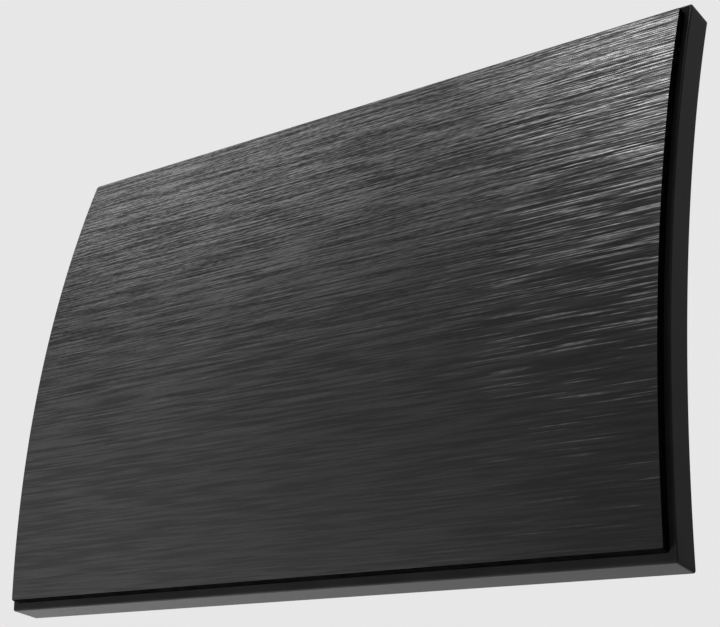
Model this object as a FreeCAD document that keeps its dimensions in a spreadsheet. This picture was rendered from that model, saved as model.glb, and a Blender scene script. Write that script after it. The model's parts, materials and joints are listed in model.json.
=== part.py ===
import FreeCAD, Part
import math
import os
import Sketcher

# Curved panel TV antenna that hangs on a wall. X runs along the width, Y from the front to the
# wall and Z up. Bodies are drawn about the middle of the front lip and then placed so that the
# origin lies on the back, midway between the two keyholes. A layer is a distance behind the
# curved front of the lip, along its normal; all layers share one level axis behind the panel.

PARTS_FOLDER = "parts"
DOC = FreeCAD.newDocument("tv_antenna")
SHEET = DOC.addObject("Spreadsheet::Sheet", "sizes")

SIZES = (
    # surround and its curve
    ("frame_width", 250.0),
    ("frame_height", 168.0),
    ("frame_depth", 10.0),
    ("bulge", 8.4),
    ("frame_wall", 2.6),
    ("corner_round", 0.8),
    ("edge_bevel", 0.4),
    ("ledge_width", 9.0),
    ("ledge_thick", 1.6),
    # brushed plate, its adhesive ring and the lip left bare around it
    ("lip_side", 2.15),
    ("lip_end", 2.7),
    ("panel_proud", 2.8),
    ("panel_inset", 0.6),
    ("panel_skin", 2.0),
    ("panel_land", 8.5),
    ("panel_gap", 0.15),
    ("panel_corner_round", 0.8),
    ("panel_edge_bevel", 0.25),
    ("bond_gap", 0.1),
    ("tape_thick", 0.25),
    ("tape_margin", 0.5),
    ("tape_width", 7.5),
    # back cover
    ("cover_thick", 1.8),
    ("cover_root", 1.2),
    ("cover_rest", 0.8),
    ("cover_gap", 0.2),
    ("cover_corner_round", 1.0),
    # screws that hold the cover
    ("screw_side_inset", 17.0),
    ("screw_end_inset", 8.5),
    ("boss_radius", 3.0),
    ("pilot_radius", 1.05),
    ("pilot_depth", 4.4),
    ("cup_half", 4.2),
    ("cup_drop", 2.2),
    ("cup_floor", 1.4),
    ("head_bore_radius", 2.8),
    ("shank_bore_radius", 1.45),
    ("screw_head_radius", 2.4),
    ("screw_head_thick", 1.6),
    ("screw_length", 5.6),
    ("screw_slot_width", 0.8),
    ("screw_slot_length", 2.8),
    ("screw_slot_depth", 0.9),
    # keyholes that hang on two wall screws
    ("key_column", 50.0),
    ("key_drop", 30.0),
    ("key_radius", 4.25),
    ("key_slot_radius", 2.3),
    ("key_rise", 9.0),
    ("key_room", 4.6),
    ("key_side_room", 0.6),
    ("key_wall", 1.2),
    # rubber feet and their seats
    ("foot_side_inset", 33.0),
    ("foot_end_inset", 18.0),
    ("foot_half", 5.0),
    ("foot_corner", 1.4),
    ("foot_stand", 1.2),
    ("foot_seat_wall", 1.3),
    ("foot_seat_rise", 0.5),
    ("foot_seat_depth", 4.6),
    # hump over the socket and the recess where a plug goes on
    ("hump_width", 48.0),
    ("hump_low", 6.0),
    ("hump_height", 44.0),
    ("hump_clear", 2.4),
    ("hump_skirt", 1.2),
    ("hump_wall", 1.8),
    ("hump_end_wall", 2.2),
    ("hump_round", 4.0),
    ("hump_edge_bevel", 1.2),
    ("recess_width", 22.0),
    ("recess_flat", 30.0),
    ("recess_ramp", 20.0),
    ("recess_wall", 1.6),
    ("plug_room", 6.8),
    # film and foil
    ("film_thick", 0.25),
    ("film_margin", 2.75),
    ("foil_thick", 0.25),
    ("foil_gap", 8.0),
    ("foil_margin", 6.0),
    ("foil_end_margin", 8.0),
    ("foil_neck", 12.0),
    ("foil_window_start", 40.0),
    ("foil_window_neck", 28.0),
    ("foil_window_inset", 17.0),
    ("foil_band", 10.0),
    ("feed_strip", 7.0),
    ("feed_row", 30.0),
    ("feed_overrun", 4.0),
    # matching board and what sits on it
    ("board_width", 34.0),
    ("board_height", 34.0),
    ("board_thick", 1.2),
    ("board_gap", 0.8),
    ("board_screw_column", 13.0),
    ("board_screw_row", 38.0),
    ("board_boss_radius", 2.6),
    ("board_pilot_radius", 0.85),
    ("board_pilot_depth", 5.0),
    ("board_hole_radius", 1.1),
    ("board_screw_head_radius", 1.9),
    ("board_screw_head_thick", 1.2),
    ("board_screw_length", 5.6),
    ("board_slot_width", 0.6),
    ("board_slot_length", 2.2),
    ("board_slot_depth", 0.7),
    ("core_row", 31.0),
    ("core_width", 7.6),
    ("core_depth", 4.4),
    ("core_length", 6.0),
    ("core_round", 1.6),
    ("core_hole_radius", 0.95),
    ("core_hole_spread", 3.8),
    ("wire_width", 0.6),
    ("wire_overrun", 1.2),
    ("chip_row", 22.5),
    ("chip_column", 5.0),
    ("chip_width", 2.0),
    ("chip_height", 1.25),
    ("chip_thick", 0.9),
    ("spring_width", 2.4),
    ("spring_thick", 0.3),
    ("spring_start", 2.5),
    ("spring_base", 3.0),
    ("spring_arm", 3.0),
    ("spring_tip", 1.5),
    ("spring_gap", 0.12),
    # threaded aerial socket, 3/8 inch across the thread
    ("socket_half", 5.0),
    ("socket_length", 9.0),
    ("socket_clear", 0.2),
    ("thread_radius", 4.76),
    ("thread_length", 9.0),
    ("neck_radius", 4.4),
    ("neck_bare", 0.6),
    ("nut_flats", 12.7),
    ("nut_thick", 2.3),
    ("washer_radius", 6.5),
    ("washer_thick", 0.5),
    ("socket_bore_radius", 3.2),
    ("socket_hole_gap", 0.15),
    ("fit_gap", 0.02),
    ("insulator_sunk", 0.5),
    ("contact_sunk", 1.0),
    ("contact_radius", 1.2),
    ("contact_bore_radius", 0.5),
    ("contact_bore_depth", 9.0),
    ("tail_width", 0.8),
    ("tail_reach", 1.2),
    ("leg_width", 0.9),
    ("leg_column", 3.8),
    ("leg_inset", 1.8),
    ("leg_overrun", 0.8),
    ("leg_gap", 0.05),
)

for row, (alias, number) in enumerate(SIZES, 1):
    SHEET.set(f"A{row}", alias)
    SHEET.set(f"B{row}", str(number))
    SHEET.setAlias(f"B{row}", alias)
DOC.recompute()

# Curve shared by every layer.
CURVE_RADIUS = "(((sizes.frame_height / 2)^2 + sizes.bulge^2) / (2 * sizes.bulge))"
CURVE_CENTRE = f"({CURVE_RADIUS} - sizes.bulge)"


def layer_depth(layer, height):
    """Give the depth of a curved layer at a height."""
    return f"({CURVE_CENTRE} - sqrt(({CURVE_RADIUS} - ({layer}))^2 - ({height})^2))"


# Layers from the front to the back.
PANEL_FRONT = "(-sizes.panel_proud)"
PANEL_CORE = f"({PANEL_FRONT} + sizes.panel_skin)"
FILM_FRONT = f"({PANEL_CORE} + sizes.bond_gap)"
FILM_BACK = f"({FILM_FRONT} + sizes.film_thick)"
FOIL_FRONT = f"({FILM_BACK} + sizes.bond_gap)"
FOIL_BACK = f"({FOIL_FRONT} + sizes.foil_thick)"
PANEL_BACK = "sizes.panel_inset"
TAPE_FRONT = f"({PANEL_BACK} + sizes.bond_gap)"
TAPE_BACK = f"({TAPE_FRONT} + sizes.tape_thick)"
LEDGE_FRONT = f"({TAPE_BACK} + sizes.bond_gap)"
LEDGE_MIDDLE = f"({LEDGE_FRONT} + sizes.ledge_thick / 2)"
LEDGE_BACK = f"({LEDGE_FRONT} + sizes.ledge_thick)"
COVER_BACK = "sizes.frame_depth"
COVER_FRONT = f"({COVER_BACK} - sizes.cover_thick)"
COVER_MIDDLE = f"({COVER_BACK} - sizes.cover_thick / 2)"
COVER_ROOT = f"({COVER_BACK} - sizes.cover_root)"
BEHIND_COVER = f"({COVER_BACK} + sizes.cover_thick)"

# Half heights and widths of what lies in those layers.
PANEL_HALF = "(sizes.frame_height / 2 - sizes.lip_end)"
PANEL_WIDTH = "(sizes.frame_width - 2 * sizes.lip_side)"
SEAT_HALF = f"({PANEL_HALF} + sizes.panel_gap)"
SEAT_WIDTH = f"({PANEL_WIDTH} + 2 * sizes.panel_gap)"
ROOM_HALF = "(sizes.frame_height / 2 - sizes.frame_wall)"
ROOM_WIDTH = "(sizes.frame_width - 2 * sizes.frame_wall)"
REST_HALF = f"({ROOM_HALF} + sizes.cover_rest)"
REST_WIDTH = f"({ROOM_WIDTH} + 2 * sizes.cover_rest)"
COVER_HALF = f"({REST_HALF} - sizes.cover_gap)"
COVER_WIDTH = f"({REST_WIDTH} - 2 * sizes.cover_gap)"
FILM_HALF = f"({PANEL_HALF} - sizes.panel_land - sizes.film_margin)"
FILM_WIDTH = f"({PANEL_WIDTH} - 2 * sizes.panel_land - 2 * sizes.film_margin)"
FOIL_REACH = f"({FILM_WIDTH} / 2 - sizes.foil_margin)"
FOIL_FLARE = f"({FILM_HALF} - sizes.foil_end_margin)"

# Places across and up that are measured in from the edges of the surround.
SCREW_COLUMN = "(sizes.frame_width / 2 - sizes.screw_side_inset)"
SCREW_ROW = "(sizes.frame_height / 2 - sizes.screw_end_inset)"
FOOT_COLUMN = "(sizes.frame_width / 2 - sizes.foot_side_inset)"
FOOT_ROW = "(sizes.frame_height / 2 - sizes.foot_end_inset)"
KEY_ROW = "(sizes.frame_height / 2 - sizes.key_drop)"
KEY_TOP = f"({KEY_ROW} + sizes.key_rise)"

# Depths along Y.
ORIGIN_DEPTH = layer_depth(COVER_BACK, KEY_ROW)
WALL_DEPTH = f"({layer_depth(COVER_BACK, 'sizes.frame_height / 2')} + sizes.foot_stand)"
CUP_DEPTH = f"({layer_depth(COVER_FRONT, SCREW_ROW)} - sizes.cup_drop)"
HEAD_DEPTH = f"({CUP_DEPTH} + sizes.cup_floor)"
FOOT_SEAT_TOP = f"{FOOT_ROW} + sizes.foot_half + sizes.foot_seat_wall"
FOOT_SEAT_DEPTH = f"({layer_depth(COVER_BACK, FOOT_SEAT_TOP)} + sizes.foot_seat_rise)"
HUMP_BACK = f"({WALL_DEPTH} - sizes.hump_clear)"
HUMP_ROOF = f"({HUMP_BACK} - sizes.hump_wall)"
HUMP_SKIRT = f"({layer_depth(COVER_FRONT, '0')} - sizes.hump_skirt)"
SOCKET_DEPTH = f"({HUMP_ROOF} - sizes.socket_clear - sizes.socket_half)"
BOARD_BACK = f"({SOCKET_DEPTH} - sizes.socket_half)"
BOARD_FRONT = f"({BOARD_BACK} - sizes.board_thick)"
CORE_DEPTH = f"({BOARD_BACK} + sizes.core_depth / 2)"
RECESS_FLOOR = f"({SOCKET_DEPTH} - sizes.plug_room)"
RECESS_SHELL = f"({RECESS_FLOOR} - sizes.recess_wall)"
LEG_DEPTH = f"({BOARD_FRONT} - sizes.leg_overrun)"
SPRING_DEPTH = f"({layer_depth(FOIL_BACK, 'sizes.feed_row')} + sizes.spring_gap)"

# Heights along Z.
HUMP_TOP = "(sizes.hump_low + sizes.hump_height)"
SOCKET_LOW = "(sizes.hump_low + sizes.hump_end_wall)"
SOCKET_HIGH = f"({SOCKET_LOW} + sizes.socket_length)"
WASHER_LOW = "(sizes.hump_low - sizes.washer_thick)"
NUT_LOW = f"({WASHER_LOW} - sizes.nut_thick)"
THREAD_HIGH = f"({NUT_LOW} - sizes.neck_bare)"
THREAD_LOW = f"({THREAD_HIGH} - sizes.thread_length)"
INSULATOR_LOW = f"({THREAD_LOW} + sizes.insulator_sunk)"
CONTACT_LOW = f"({INSULATOR_LOW} + sizes.contact_sunk)"
TAIL_HEIGHT = f"({SOCKET_HIGH} + sizes.tail_reach)"
RECESS_LOW = "(sizes.hump_low - sizes.recess_flat)"
RAMP_LOW = f"({RECESS_LOW} - sizes.recess_ramp)"
BOARD_LOW = f"({SOCKET_LOW} + sizes.board_gap)"
BOARD_HIGH = f"({BOARD_LOW} + sizes.board_height)"
CORE_LOW = "(sizes.core_row - sizes.core_length / 2)"
CORE_HIGH = "(sizes.core_row + sizes.core_length / 2)"

SIDES = (("left", "-1"), ("right", "1"))
LEVELS = (("upper", "1"), ("lower", "-1"))
NODES = []
LENGTH_TOLERANCE = 0.01


def number(expression):
    """Give the value of an expression on the sheet."""
    return float(DOC.Objects[-1].evalExpression(expression))


def place_in_frame(piece):
    """Move a piece from the middle of the lip to the shared origin."""
    piece.setExpression("Placement.Base.y", f"-{ORIGIN_DEPTH}")
    piece.setExpression("Placement.Base.z", f"-{KEY_ROW}")


def new_body(label):
    """Start a body that becomes one node of the part."""
    body = DOC.addObject("PartDesign::Body", label)
    body.Label = label
    place_in_frame(body)
    NODES.append(body)
    return body


def attach(body, feature, role, offsets=("0", "0", "0")):
    """Lay a sketch or primitive on one of its body's origin planes."""
    plane = next(item for item in body.Origin.OriginFeatures if item.Role == role)
    feature.AttachmentSupport = [(plane, "")]
    feature.MapMode = "FlatFace"
    for axis, offset in zip("xyz", offsets):
        feature.setExpression(f"AttachmentOffset.Base.{axis}", offset)


def new_sketch(body, name, role, offsets=("0", "0", "0")):
    """Add a sketch on an origin plane."""
    sketch = body.newObject("Sketcher::SketchObject", name)
    attach(body, sketch, role, offsets)
    return sketch


def hold(sketch, name, expression, kind, *references):
    """Add one dimension to a sketch and bind it to the sheet."""
    index = sketch.addConstraint(Sketcher.Constraint(kind, *references, number(expression)))
    sketch.renameConstraint(index, name)
    sketch.setExpression(f"Constraints.{name}", expression)


def draw_loop(sketch, points):
    """Draw a closed outline of straight edges through points held from the sketch's origin."""
    first = sketch.GeometryCount
    spots = [FreeCAD.Vector(number(across), number(up), 0) for across, up in points]
    count = len(points)
    for index in range(count):
        following = (index + 1) % count
        sketch.addGeometry(Part.LineSegment(spots[index], spots[following]))
    for index, (across, up) in enumerate(points):
        edge = first + index
        following = first + (index + 1) % count
        sketch.addConstraint(Sketcher.Constraint("Coincident", edge, 2, following, 1))
        hold(sketch, f"across_{edge}", across, "DistanceX", -1, 1, edge, 1)
        hold(sketch, f"up_{edge}", up, "DistanceY", -1, 1, edge, 1)


def draw_circle(sketch, across, up, radius):
    """Draw a circle held from the sketch's origin."""
    middle = FreeCAD.Vector(number(across), number(up), 0)
    edge = sketch.addGeometry(Part.Circle(middle, FreeCAD.Vector(0, 0, 1), number(radius)))
    hold(sketch, f"radius_{edge}", radius, "Radius", edge)
    hold(sketch, f"across_{edge}", across, "DistanceX", -1, 1, edge, 3)
    hold(sketch, f"up_{edge}", up, "DistanceY", -1, 1, edge, 3)


def draw_rounded(sketch, half_width, low, high, radius):
    """Draw an upright rectangle with round corners, centred across the sketch."""
    first = sketch.GeometryCount
    turn = number(radius)
    inset = f"({half_width} - {radius})"
    corners = (
        (inset, f"({high} - {radius})"),
        (f"-{inset}", f"({high} - {radius})"),
        (f"-{inset}", f"({low} + {radius})"),
        (inset, f"({low} + {radius})"),
    )
    count = len(corners)
    for index, (across, up) in enumerate(corners):
        start = index * math.pi / 2
        middle = FreeCAD.Vector(number(across), number(up), 0)
        circle = Part.Circle(middle, FreeCAD.Vector(0, 0, 1), turn)
        sketch.addGeometry(Part.ArcOfCircle(circle, start, start + math.pi / 2))
    for index in range(count):
        arc = sketch.Geometry[first + index]
        following = sketch.Geometry[first + (index + 1) % count]
        sketch.addGeometry(Part.LineSegment(arc.EndPoint, following.StartPoint))
    for index, (across, up) in enumerate(corners):
        arc = first + index
        line = first + count + index
        level_end = 1 + index % 2
        sketch.addConstraint(Sketcher.Constraint("Coincident", line, 1, arc, 2))
        sketch.addConstraint(Sketcher.Constraint("Coincident", line, 2, first + (index + 1) % count, 1))
        sketch.addConstraint(Sketcher.Constraint("Horizontal", arc, level_end, arc, 3))
        sketch.addConstraint(Sketcher.Constraint("Vertical", arc, 3 - level_end, arc, 3))
        hold(sketch, f"radius_{arc}", radius, "Radius", arc)
        hold(sketch, f"across_{arc}", across, "DistanceX", -1, 1, arc, 3)
        hold(sketch, f"up_{arc}", up, "DistanceY", -1, 1, arc, 3)


def rectangle(left, right, low, high):
    """Give the four corners of an upright rectangle."""
    return ((left, low), (right, low), (right, high), (left, high))


def square(across, up, half):
    """Give the four corners of a square about a place."""
    return rectangle(f"{across} - {half}", f"{across} + {half}", f"{up} - {half}", f"{up} + {half}")


def extrude(body, kind, name, sketch, length, symmetric=False):
    """Pad or pocket a sketch."""
    feature = body.newObject(f"PartDesign::{kind}", name)
    feature.Profile = sketch
    feature.SideType = "Symmetric" if symmetric else "One side"
    feature.setExpression("Length", length)
    DOC.recompute()
    return feature


def revolve(body, name, sketch, axis):
    """Turn a half outline about one of its sketch's own axes."""
    feature = body.newObject("PartDesign::Revolution", name)
    feature.Profile = sketch
    feature.ReferenceAxis = (sketch, [axis])
    DOC.recompute()
    return feature


def band(body, kind, name, front, back, half_height, width):
    """Pad or pocket the space between two curved layers, cut level above and below."""
    sketch = new_sketch(body, f"{name}_outline", "YZ_Plane")
    centre = FreeCAD.Vector(number(CURVE_CENTRE), 0, 0)
    half = number(half_height)
    ends = []
    for layer in (front, back):
        radius = number(f"{CURVE_RADIUS} - ({layer})")
        swing = math.asin(half / radius)
        circle = Part.Circle(centre, FreeCAD.Vector(0, 0, 1), radius)
        sketch.addGeometry(Part.ArcOfCircle(circle, math.pi - swing, math.pi + swing))
        depth = number(layer_depth(layer, half_height))
        ends.append((FreeCAD.Vector(depth, half, 0), FreeCAD.Vector(depth, -half, 0)))
    for top, bottom in zip(*ends):
        sketch.addGeometry(Part.LineSegment(top, bottom))
    front_arc, back_arc, top_edge, bottom_edge = range(4)
    for edge, corner in ((top_edge, 1), (bottom_edge, 2)):
        sketch.addConstraint(Sketcher.Constraint("Coincident", edge, 1, front_arc, corner))
        sketch.addConstraint(Sketcher.Constraint("Coincident", edge, 2, back_arc, corner))
        sketch.addConstraint(Sketcher.Constraint("Horizontal", edge))
    sketch.addConstraint(Sketcher.Constraint("Coincident", front_arc, 3, back_arc, 3))
    sketch.addConstraint(Sketcher.Constraint("PointOnObject", front_arc, 3, -1))
    hold(sketch, "centre", CURVE_CENTRE, "DistanceX", -1, 1, front_arc, 3)
    hold(sketch, "front_radius", f"{CURVE_RADIUS} - ({front})", "Radius", front_arc)
    hold(sketch, "back_radius", f"{CURVE_RADIUS} - ({back})", "Radius", back_arc)
    hold(sketch, "top", half_height, "DistanceY", -1, 1, top_edge, 1)
    hold(sketch, "bottom", half_height, "DistanceY", bottom_edge, 1, -1, 1)
    return extrude(body, kind, name, sketch, width, symmetric=True)


def side_prism(body, kind, name, points, middle, width):
    """Pad or pocket an outline of depths and heights, centred on a place along the width."""
    sketch = new_sketch(body, f"{name}_outline", "YZ_Plane", ("0", "0", middle))
    draw_loop(sketch, points)
    return extrude(body, kind, name, sketch, width, symmetric=True)


def posts(body, kind, name, spots, front, back, radius):
    """Pad or pocket equal cylinders that run from front to back at places across and up."""
    start = back if kind == "Pad" else front
    sketch = new_sketch(body, f"{name}_outline", "XZ_Plane", ("0", "0", f"-({start})"))
    for across, up in spots:
        draw_circle(sketch, across, up, radius)
    return extrude(body, kind, name, sketch, f"({back}) - ({front})")


def column(body, kind, name, depth, low, high, radius):
    """Add or cut an upright cylinder in the middle of the width."""
    feature = body.newObject(f"PartDesign::{kind}Cylinder", name)
    attach(body, feature, "XY_Plane", ("0", depth, low))
    feature.setExpression("Radius", radius)
    feature.setExpression("Height", f"({high}) - ({low})")
    DOC.recompute()
    return feature


def soften(body, kind, name, base, test, size):
    """Fillet or chamfer each edge of a feature whose end points pass a test."""
    edges = []
    for index, edge in enumerate(base.Shape.Edges, 1):
        if test([vertex.Point for vertex in edge.Vertexes]):
            edges.append(f"Edge{index}")
    feature = body.newObject(f"PartDesign::{kind}", name)
    feature.Base = (base, edges)
    feature.setExpression("Radius" if kind == "Fillet" else "Size", size)
    DOC.recompute()
    return feature


def near(first, second):
    """Tell whether two lengths agree."""
    return math.isclose(first, second, abs_tol=LENGTH_TOLERANCE)


def at_corners(half_width, *heights):
    """Test for edges that run from front to back at both sides of some heights."""
    wide = number(half_width)
    levels = [number(height) for height in heights]

    def test(ends):
        if len(ends) != 2 or near(ends[0].y, ends[1].y):
            return False
        return all(near(abs(end.x), wide) and any(near(end.z, level) for level in levels) for end in ends)

    return test


def on_layers(*layers):
    """Test for edges whose ends lie on curved layers."""
    centre = number(CURVE_CENTRE)
    radii = [number(f"{CURVE_RADIUS} - ({layer})") for layer in layers]

    def test(ends):
        return any(all(near(math.hypot(end.y - centre, end.z), radius) for end in ends) for radius in radii)

    return test


def at_depth(depth):
    """Test for edges that lie in one upright plane across the panel."""
    level = number(depth)
    return lambda ends: all(near(end.y, level) for end in ends)


def scatter(label, master, spots, head_forward):
    """Make one node of equal pieces: copies of a master that stands on its own origin."""
    turn = FreeCAD.Rotation(FreeCAD.Vector(1, 0, 0), 90 if head_forward else -90)
    copies = []
    for across, depth, up in spots:
        spot = FreeCAD.Vector(number(across), number(depth), number(up))
        copies.append(master.Shape.transformed(FreeCAD.Placement(spot, turn).toMatrix()))
    group = DOC.addObject("Part::Feature", label)
    group.Label = label
    group.Shape = Part.makeCompound(copies)
    place_in_frame(group)
    NODES.append(group)


def screw_master(label, head_radius, head_thick, length, shank_radius, slots):
    """Model one cross-slot screw: head above the origin, shank below it."""
    body = DOC.addObject("PartDesign::Body", label)
    profile = new_sketch(body, f"{label}_outline", "XZ_Plane")
    draw_loop(
        profile,
        (
            ("0", f"-{length}"),
            (shank_radius, f"-{length}"),
            (shank_radius, "0"),
            (head_radius, "0"),
            (head_radius, head_thick),
            ("0", head_thick),
        ),
    )
    revolve(body, f"{label}_turned", profile, "V_Axis")
    slot_width, slot_length, slot_depth = slots
    for name, wide, tall in (("slot", slot_length, slot_width), ("cross", slot_width, slot_length)):
        cut = new_sketch(body, f"{label}_{name}_outline", "XY_Plane", ("0", "0", head_thick))
        draw_loop(cut, rectangle(f"-{wide} / 2", f"{wide} / 2", f"-{tall} / 2", f"{tall} / 2"))
        extrude(body, "Pocket", f"{label}_{name}", cut, slot_depth)
    return body


def build_front_panel():
    """Brushed plate: a thick land around the rim and a thinner skin inside it."""
    body = new_body("front_panel")
    plate = band(body, "Pad", "plate", PANEL_FRONT, PANEL_BACK, PANEL_HALF, PANEL_WIDTH)
    corner = at_corners(f"{PANEL_WIDTH} / 2", PANEL_HALF, f"-{PANEL_HALF}")
    rounded = soften(body, "Fillet", "plate_corners", plate, corner, "sizes.panel_corner_round")
    soften(body, "Chamfer", "plate_edge", rounded, on_layers(PANEL_FRONT), "sizes.panel_edge_bevel")
    band(
        body,
        "Pocket",
        "plate_core",
        PANEL_CORE,
        LEDGE_BACK,
        f"({PANEL_HALF} - sizes.panel_land)",
        f"({PANEL_WIDTH} - 2 * sizes.panel_land)",
    )


def build_panel_tape():
    """Adhesive ring between the plate's land and the ledge."""
    body = new_body("panel_tape")
    half = f"({PANEL_HALF} - sizes.tape_margin)"
    width = f"({PANEL_WIDTH} - 2 * sizes.tape_margin)"
    band(body, "Pad", "tape", TAPE_FRONT, TAPE_BACK, half, width)
    band(
        body,
        "Pocket",
        "tape_opening",
        PANEL_CORE,
        LEDGE_BACK,
        f"({half} - sizes.tape_width)",
        f"({width} - 2 * sizes.tape_width)",
    )


def corner_spots(column, row_height):
    """Give four places, one near each corner, across and up."""
    return [(f"{across} * {column}", f"{up} * {row_height}") for _, up in LEVELS for _, across in SIDES]


def build_bezel_frame():
    """Surround: outer wall and lip, ledge for the plate, step for the cover, screw bosses."""
    body = new_body("bezel_frame")
    half = "(sizes.frame_height / 2)"
    block = band(body, "Pad", "block", "0", COVER_BACK, half, "sizes.frame_width")
    corner = at_corners("sizes.frame_width / 2", half, f"-{half}")
    rounded = soften(body, "Fillet", "block_corners", block, corner, "sizes.corner_round")
    soften(body, "Chamfer", "block_edges", rounded, on_layers("0", COVER_BACK), "sizes.edge_bevel")
    band(body, "Pocket", "plate_seat", PANEL_FRONT, LEDGE_FRONT, SEAT_HALF, SEAT_WIDTH)
    band(
        body,
        "Pocket",
        "window",
        PANEL_FRONT,
        BEHIND_COVER,
        f"({SEAT_HALF} - sizes.ledge_width)",
        f"({SEAT_WIDTH} - 2 * sizes.ledge_width)",
    )
    band(body, "Pocket", "room", LEDGE_BACK, BEHIND_COVER, ROOM_HALF, ROOM_WIDTH)
    band(body, "Pocket", "cover_step", COVER_FRONT, BEHIND_COVER, REST_HALF, REST_WIDTH)
    spots = corner_spots(SCREW_COLUMN, SCREW_ROW)
    root = layer_depth(LEDGE_MIDDLE, SCREW_ROW)
    floor = f"({CUP_DEPTH} - sizes.pilot_depth)"
    posts(body, "Pad", "bosses", spots, root, CUP_DEPTH, "sizes.boss_radius")
    posts(body, "Pocket", "pilots", spots, floor, CUP_DEPTH, "sizes.pilot_radius")


def add_cover_screw_cups(body):
    """Square posts on the inside, bored from the back for the heads of the cover screws."""
    spots = corner_spots(SCREW_COLUMN, SCREW_ROW)
    top = layer_depth(COVER_MIDDLE, SCREW_ROW)
    cups = new_sketch(body, "cups_outline", "XZ_Plane", ("0", "0", f"-{top}"))
    for across, up in spots:
        draw_loop(cups, square(across, up, "sizes.cup_half"))
    extrude(body, "Pad", "cups", cups, f"{top} - {CUP_DEPTH}")
    posts(body, "Pocket", "head_bores", spots, HEAD_DEPTH, WALL_DEPTH, "sizes.head_bore_radius")
    posts(body, "Pocket", "shank_bores", spots, CUP_DEPTH, WALL_DEPTH, "sizes.shank_bore_radius")


def add_foot_seats(body):
    """Square seats that hold the rubber feet parallel to the wall."""
    half = "(sizes.foot_half + sizes.foot_seat_wall)"
    seats = new_sketch(body, "foot_seats_outline", "XZ_Plane", ("0", "0", f"-{FOOT_SEAT_DEPTH}"))
    for across, up in corner_spots(FOOT_COLUMN, FOOT_ROW):
        draw_loop(seats, square(across, up, half))
    extrude(body, "Pad", "foot_seats", seats, "sizes.foot_seat_depth")


def add_keyholes(body):
    """Keyholes for two wall screws, each backed by a closed box."""
    room_half = "(sizes.key_radius + sizes.key_side_room)"
    low = f"({KEY_ROW} - {room_half})"
    high = f"({KEY_TOP} + sizes.key_slot_radius + sizes.key_side_room)"
    floor = f"({layer_depth(COVER_FRONT, KEY_ROW)} - sizes.key_room)"
    for side, across in SIDES:
        middle = f"{across} * sizes.key_column"
        for kind, name, layer, wall in (
            ("Pad", "box", COVER_ROOT, "sizes.key_wall"),
            ("Pocket", "room", COVER_FRONT, "0"),
        ):
            bottom = f"({low} - {wall})"
            top = f"({high} + {wall})"
            outline = (
                (f"{floor} - {wall}", bottom),
                (layer_depth(layer, bottom), bottom),
                (layer_depth(layer, top), top),
                (f"{floor} - {wall}", top),
            )
            side_prism(body, kind, f"{side}_key_{name}", outline, middle, f"2 * ({room_half} + {wall})")
    columns = [f"{across} * sizes.key_column" for _, across in SIDES]
    entries = [(middle, KEY_ROW) for middle in columns]
    slot_ends = [(middle, KEY_TOP) for middle in columns]
    half = "sizes.key_slot_radius"
    posts(body, "Pocket", "key_entries", entries, floor, WALL_DEPTH, "sizes.key_radius")
    posts(body, "Pocket", "key_ends", slot_ends, floor, WALL_DEPTH, half)
    slots = new_sketch(body, "key_slots_outline", "XZ_Plane", ("0", "0", f"-{floor}"))
    for middle in columns:
        draw_loop(slots, rectangle(f"{middle} - {half}", f"{middle} + {half}", KEY_ROW, KEY_TOP))
    extrude(body, "Pocket", "key_slots", slots, f"{WALL_DEPTH} - {floor}")


def add_socket_hump(body):
    """Hump over the board and socket, with a ramped recess below where a plug screws on."""
    root_top = layer_depth(COVER_ROOT, SOCKET_LOW)
    shell = (
        (root_top, SOCKET_LOW),
        (RECESS_SHELL, SOCKET_LOW),
        (RECESS_SHELL, f"({RECESS_LOW} - sizes.recess_wall)"),
        (layer_depth(COVER_ROOT, f"{RAMP_LOW} - sizes.recess_wall"), f"({RAMP_LOW} - sizes.recess_wall)"),
    )
    side_prism(body, "Pad", "recess_shell", shell, "0", "sizes.recess_width + 2 * sizes.recess_wall")
    block = new_sketch(body, "hump_outline", "XZ_Plane", ("0", "0", f"-{HUMP_BACK}"))
    draw_rounded(block, "(sizes.hump_width / 2)", "sizes.hump_low", HUMP_TOP, "sizes.hump_round")
    hump = extrude(body, "Pad", "hump", block, f"{HUMP_BACK} - {HUMP_SKIRT}")
    soften(body, "Chamfer", "hump_rim", hump, at_depth(HUMP_BACK), "sizes.hump_edge_bevel")


def hollow_hump(body):
    """Open the hump to the inside, cut the plug recess and bore the socket's hole."""
    inner = "(sizes.hump_width / 2 - sizes.hump_wall)"
    hollow = new_sketch(body, "hump_hollow_outline", "XZ_Plane", ("0", "0", f"-{RECESS_SHELL}"))
    inner_round = "(sizes.hump_round - sizes.hump_wall)"
    draw_rounded(hollow, inner, SOCKET_LOW, f"({HUMP_TOP} - sizes.hump_wall)", inner_round)
    extrude(body, "Pocket", "hump_hollow", hollow, f"{HUMP_ROOF} - {RECESS_SHELL}")
    recess = (
        (WALL_DEPTH, "sizes.hump_low"),
        (RECESS_FLOOR, "sizes.hump_low"),
        (RECESS_FLOOR, RECESS_LOW),
        (layer_depth(COVER_BACK, RAMP_LOW), RAMP_LOW),
        (WALL_DEPTH, RAMP_LOW),
    )
    side_prism(body, "Pocket", "recess", recess, "0", "sizes.recess_width")
    hole = "sizes.thread_radius + sizes.socket_hole_gap"
    column(body, "Subtractive", "socket_hole", SOCKET_DEPTH, "sizes.hump_low", SOCKET_LOW, hole)


def board_screw_spots():
    """Give the two places of the board screws across and up."""
    return [(f"{across} * sizes.board_screw_column", "sizes.board_screw_row") for _, across in SIDES]


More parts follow.
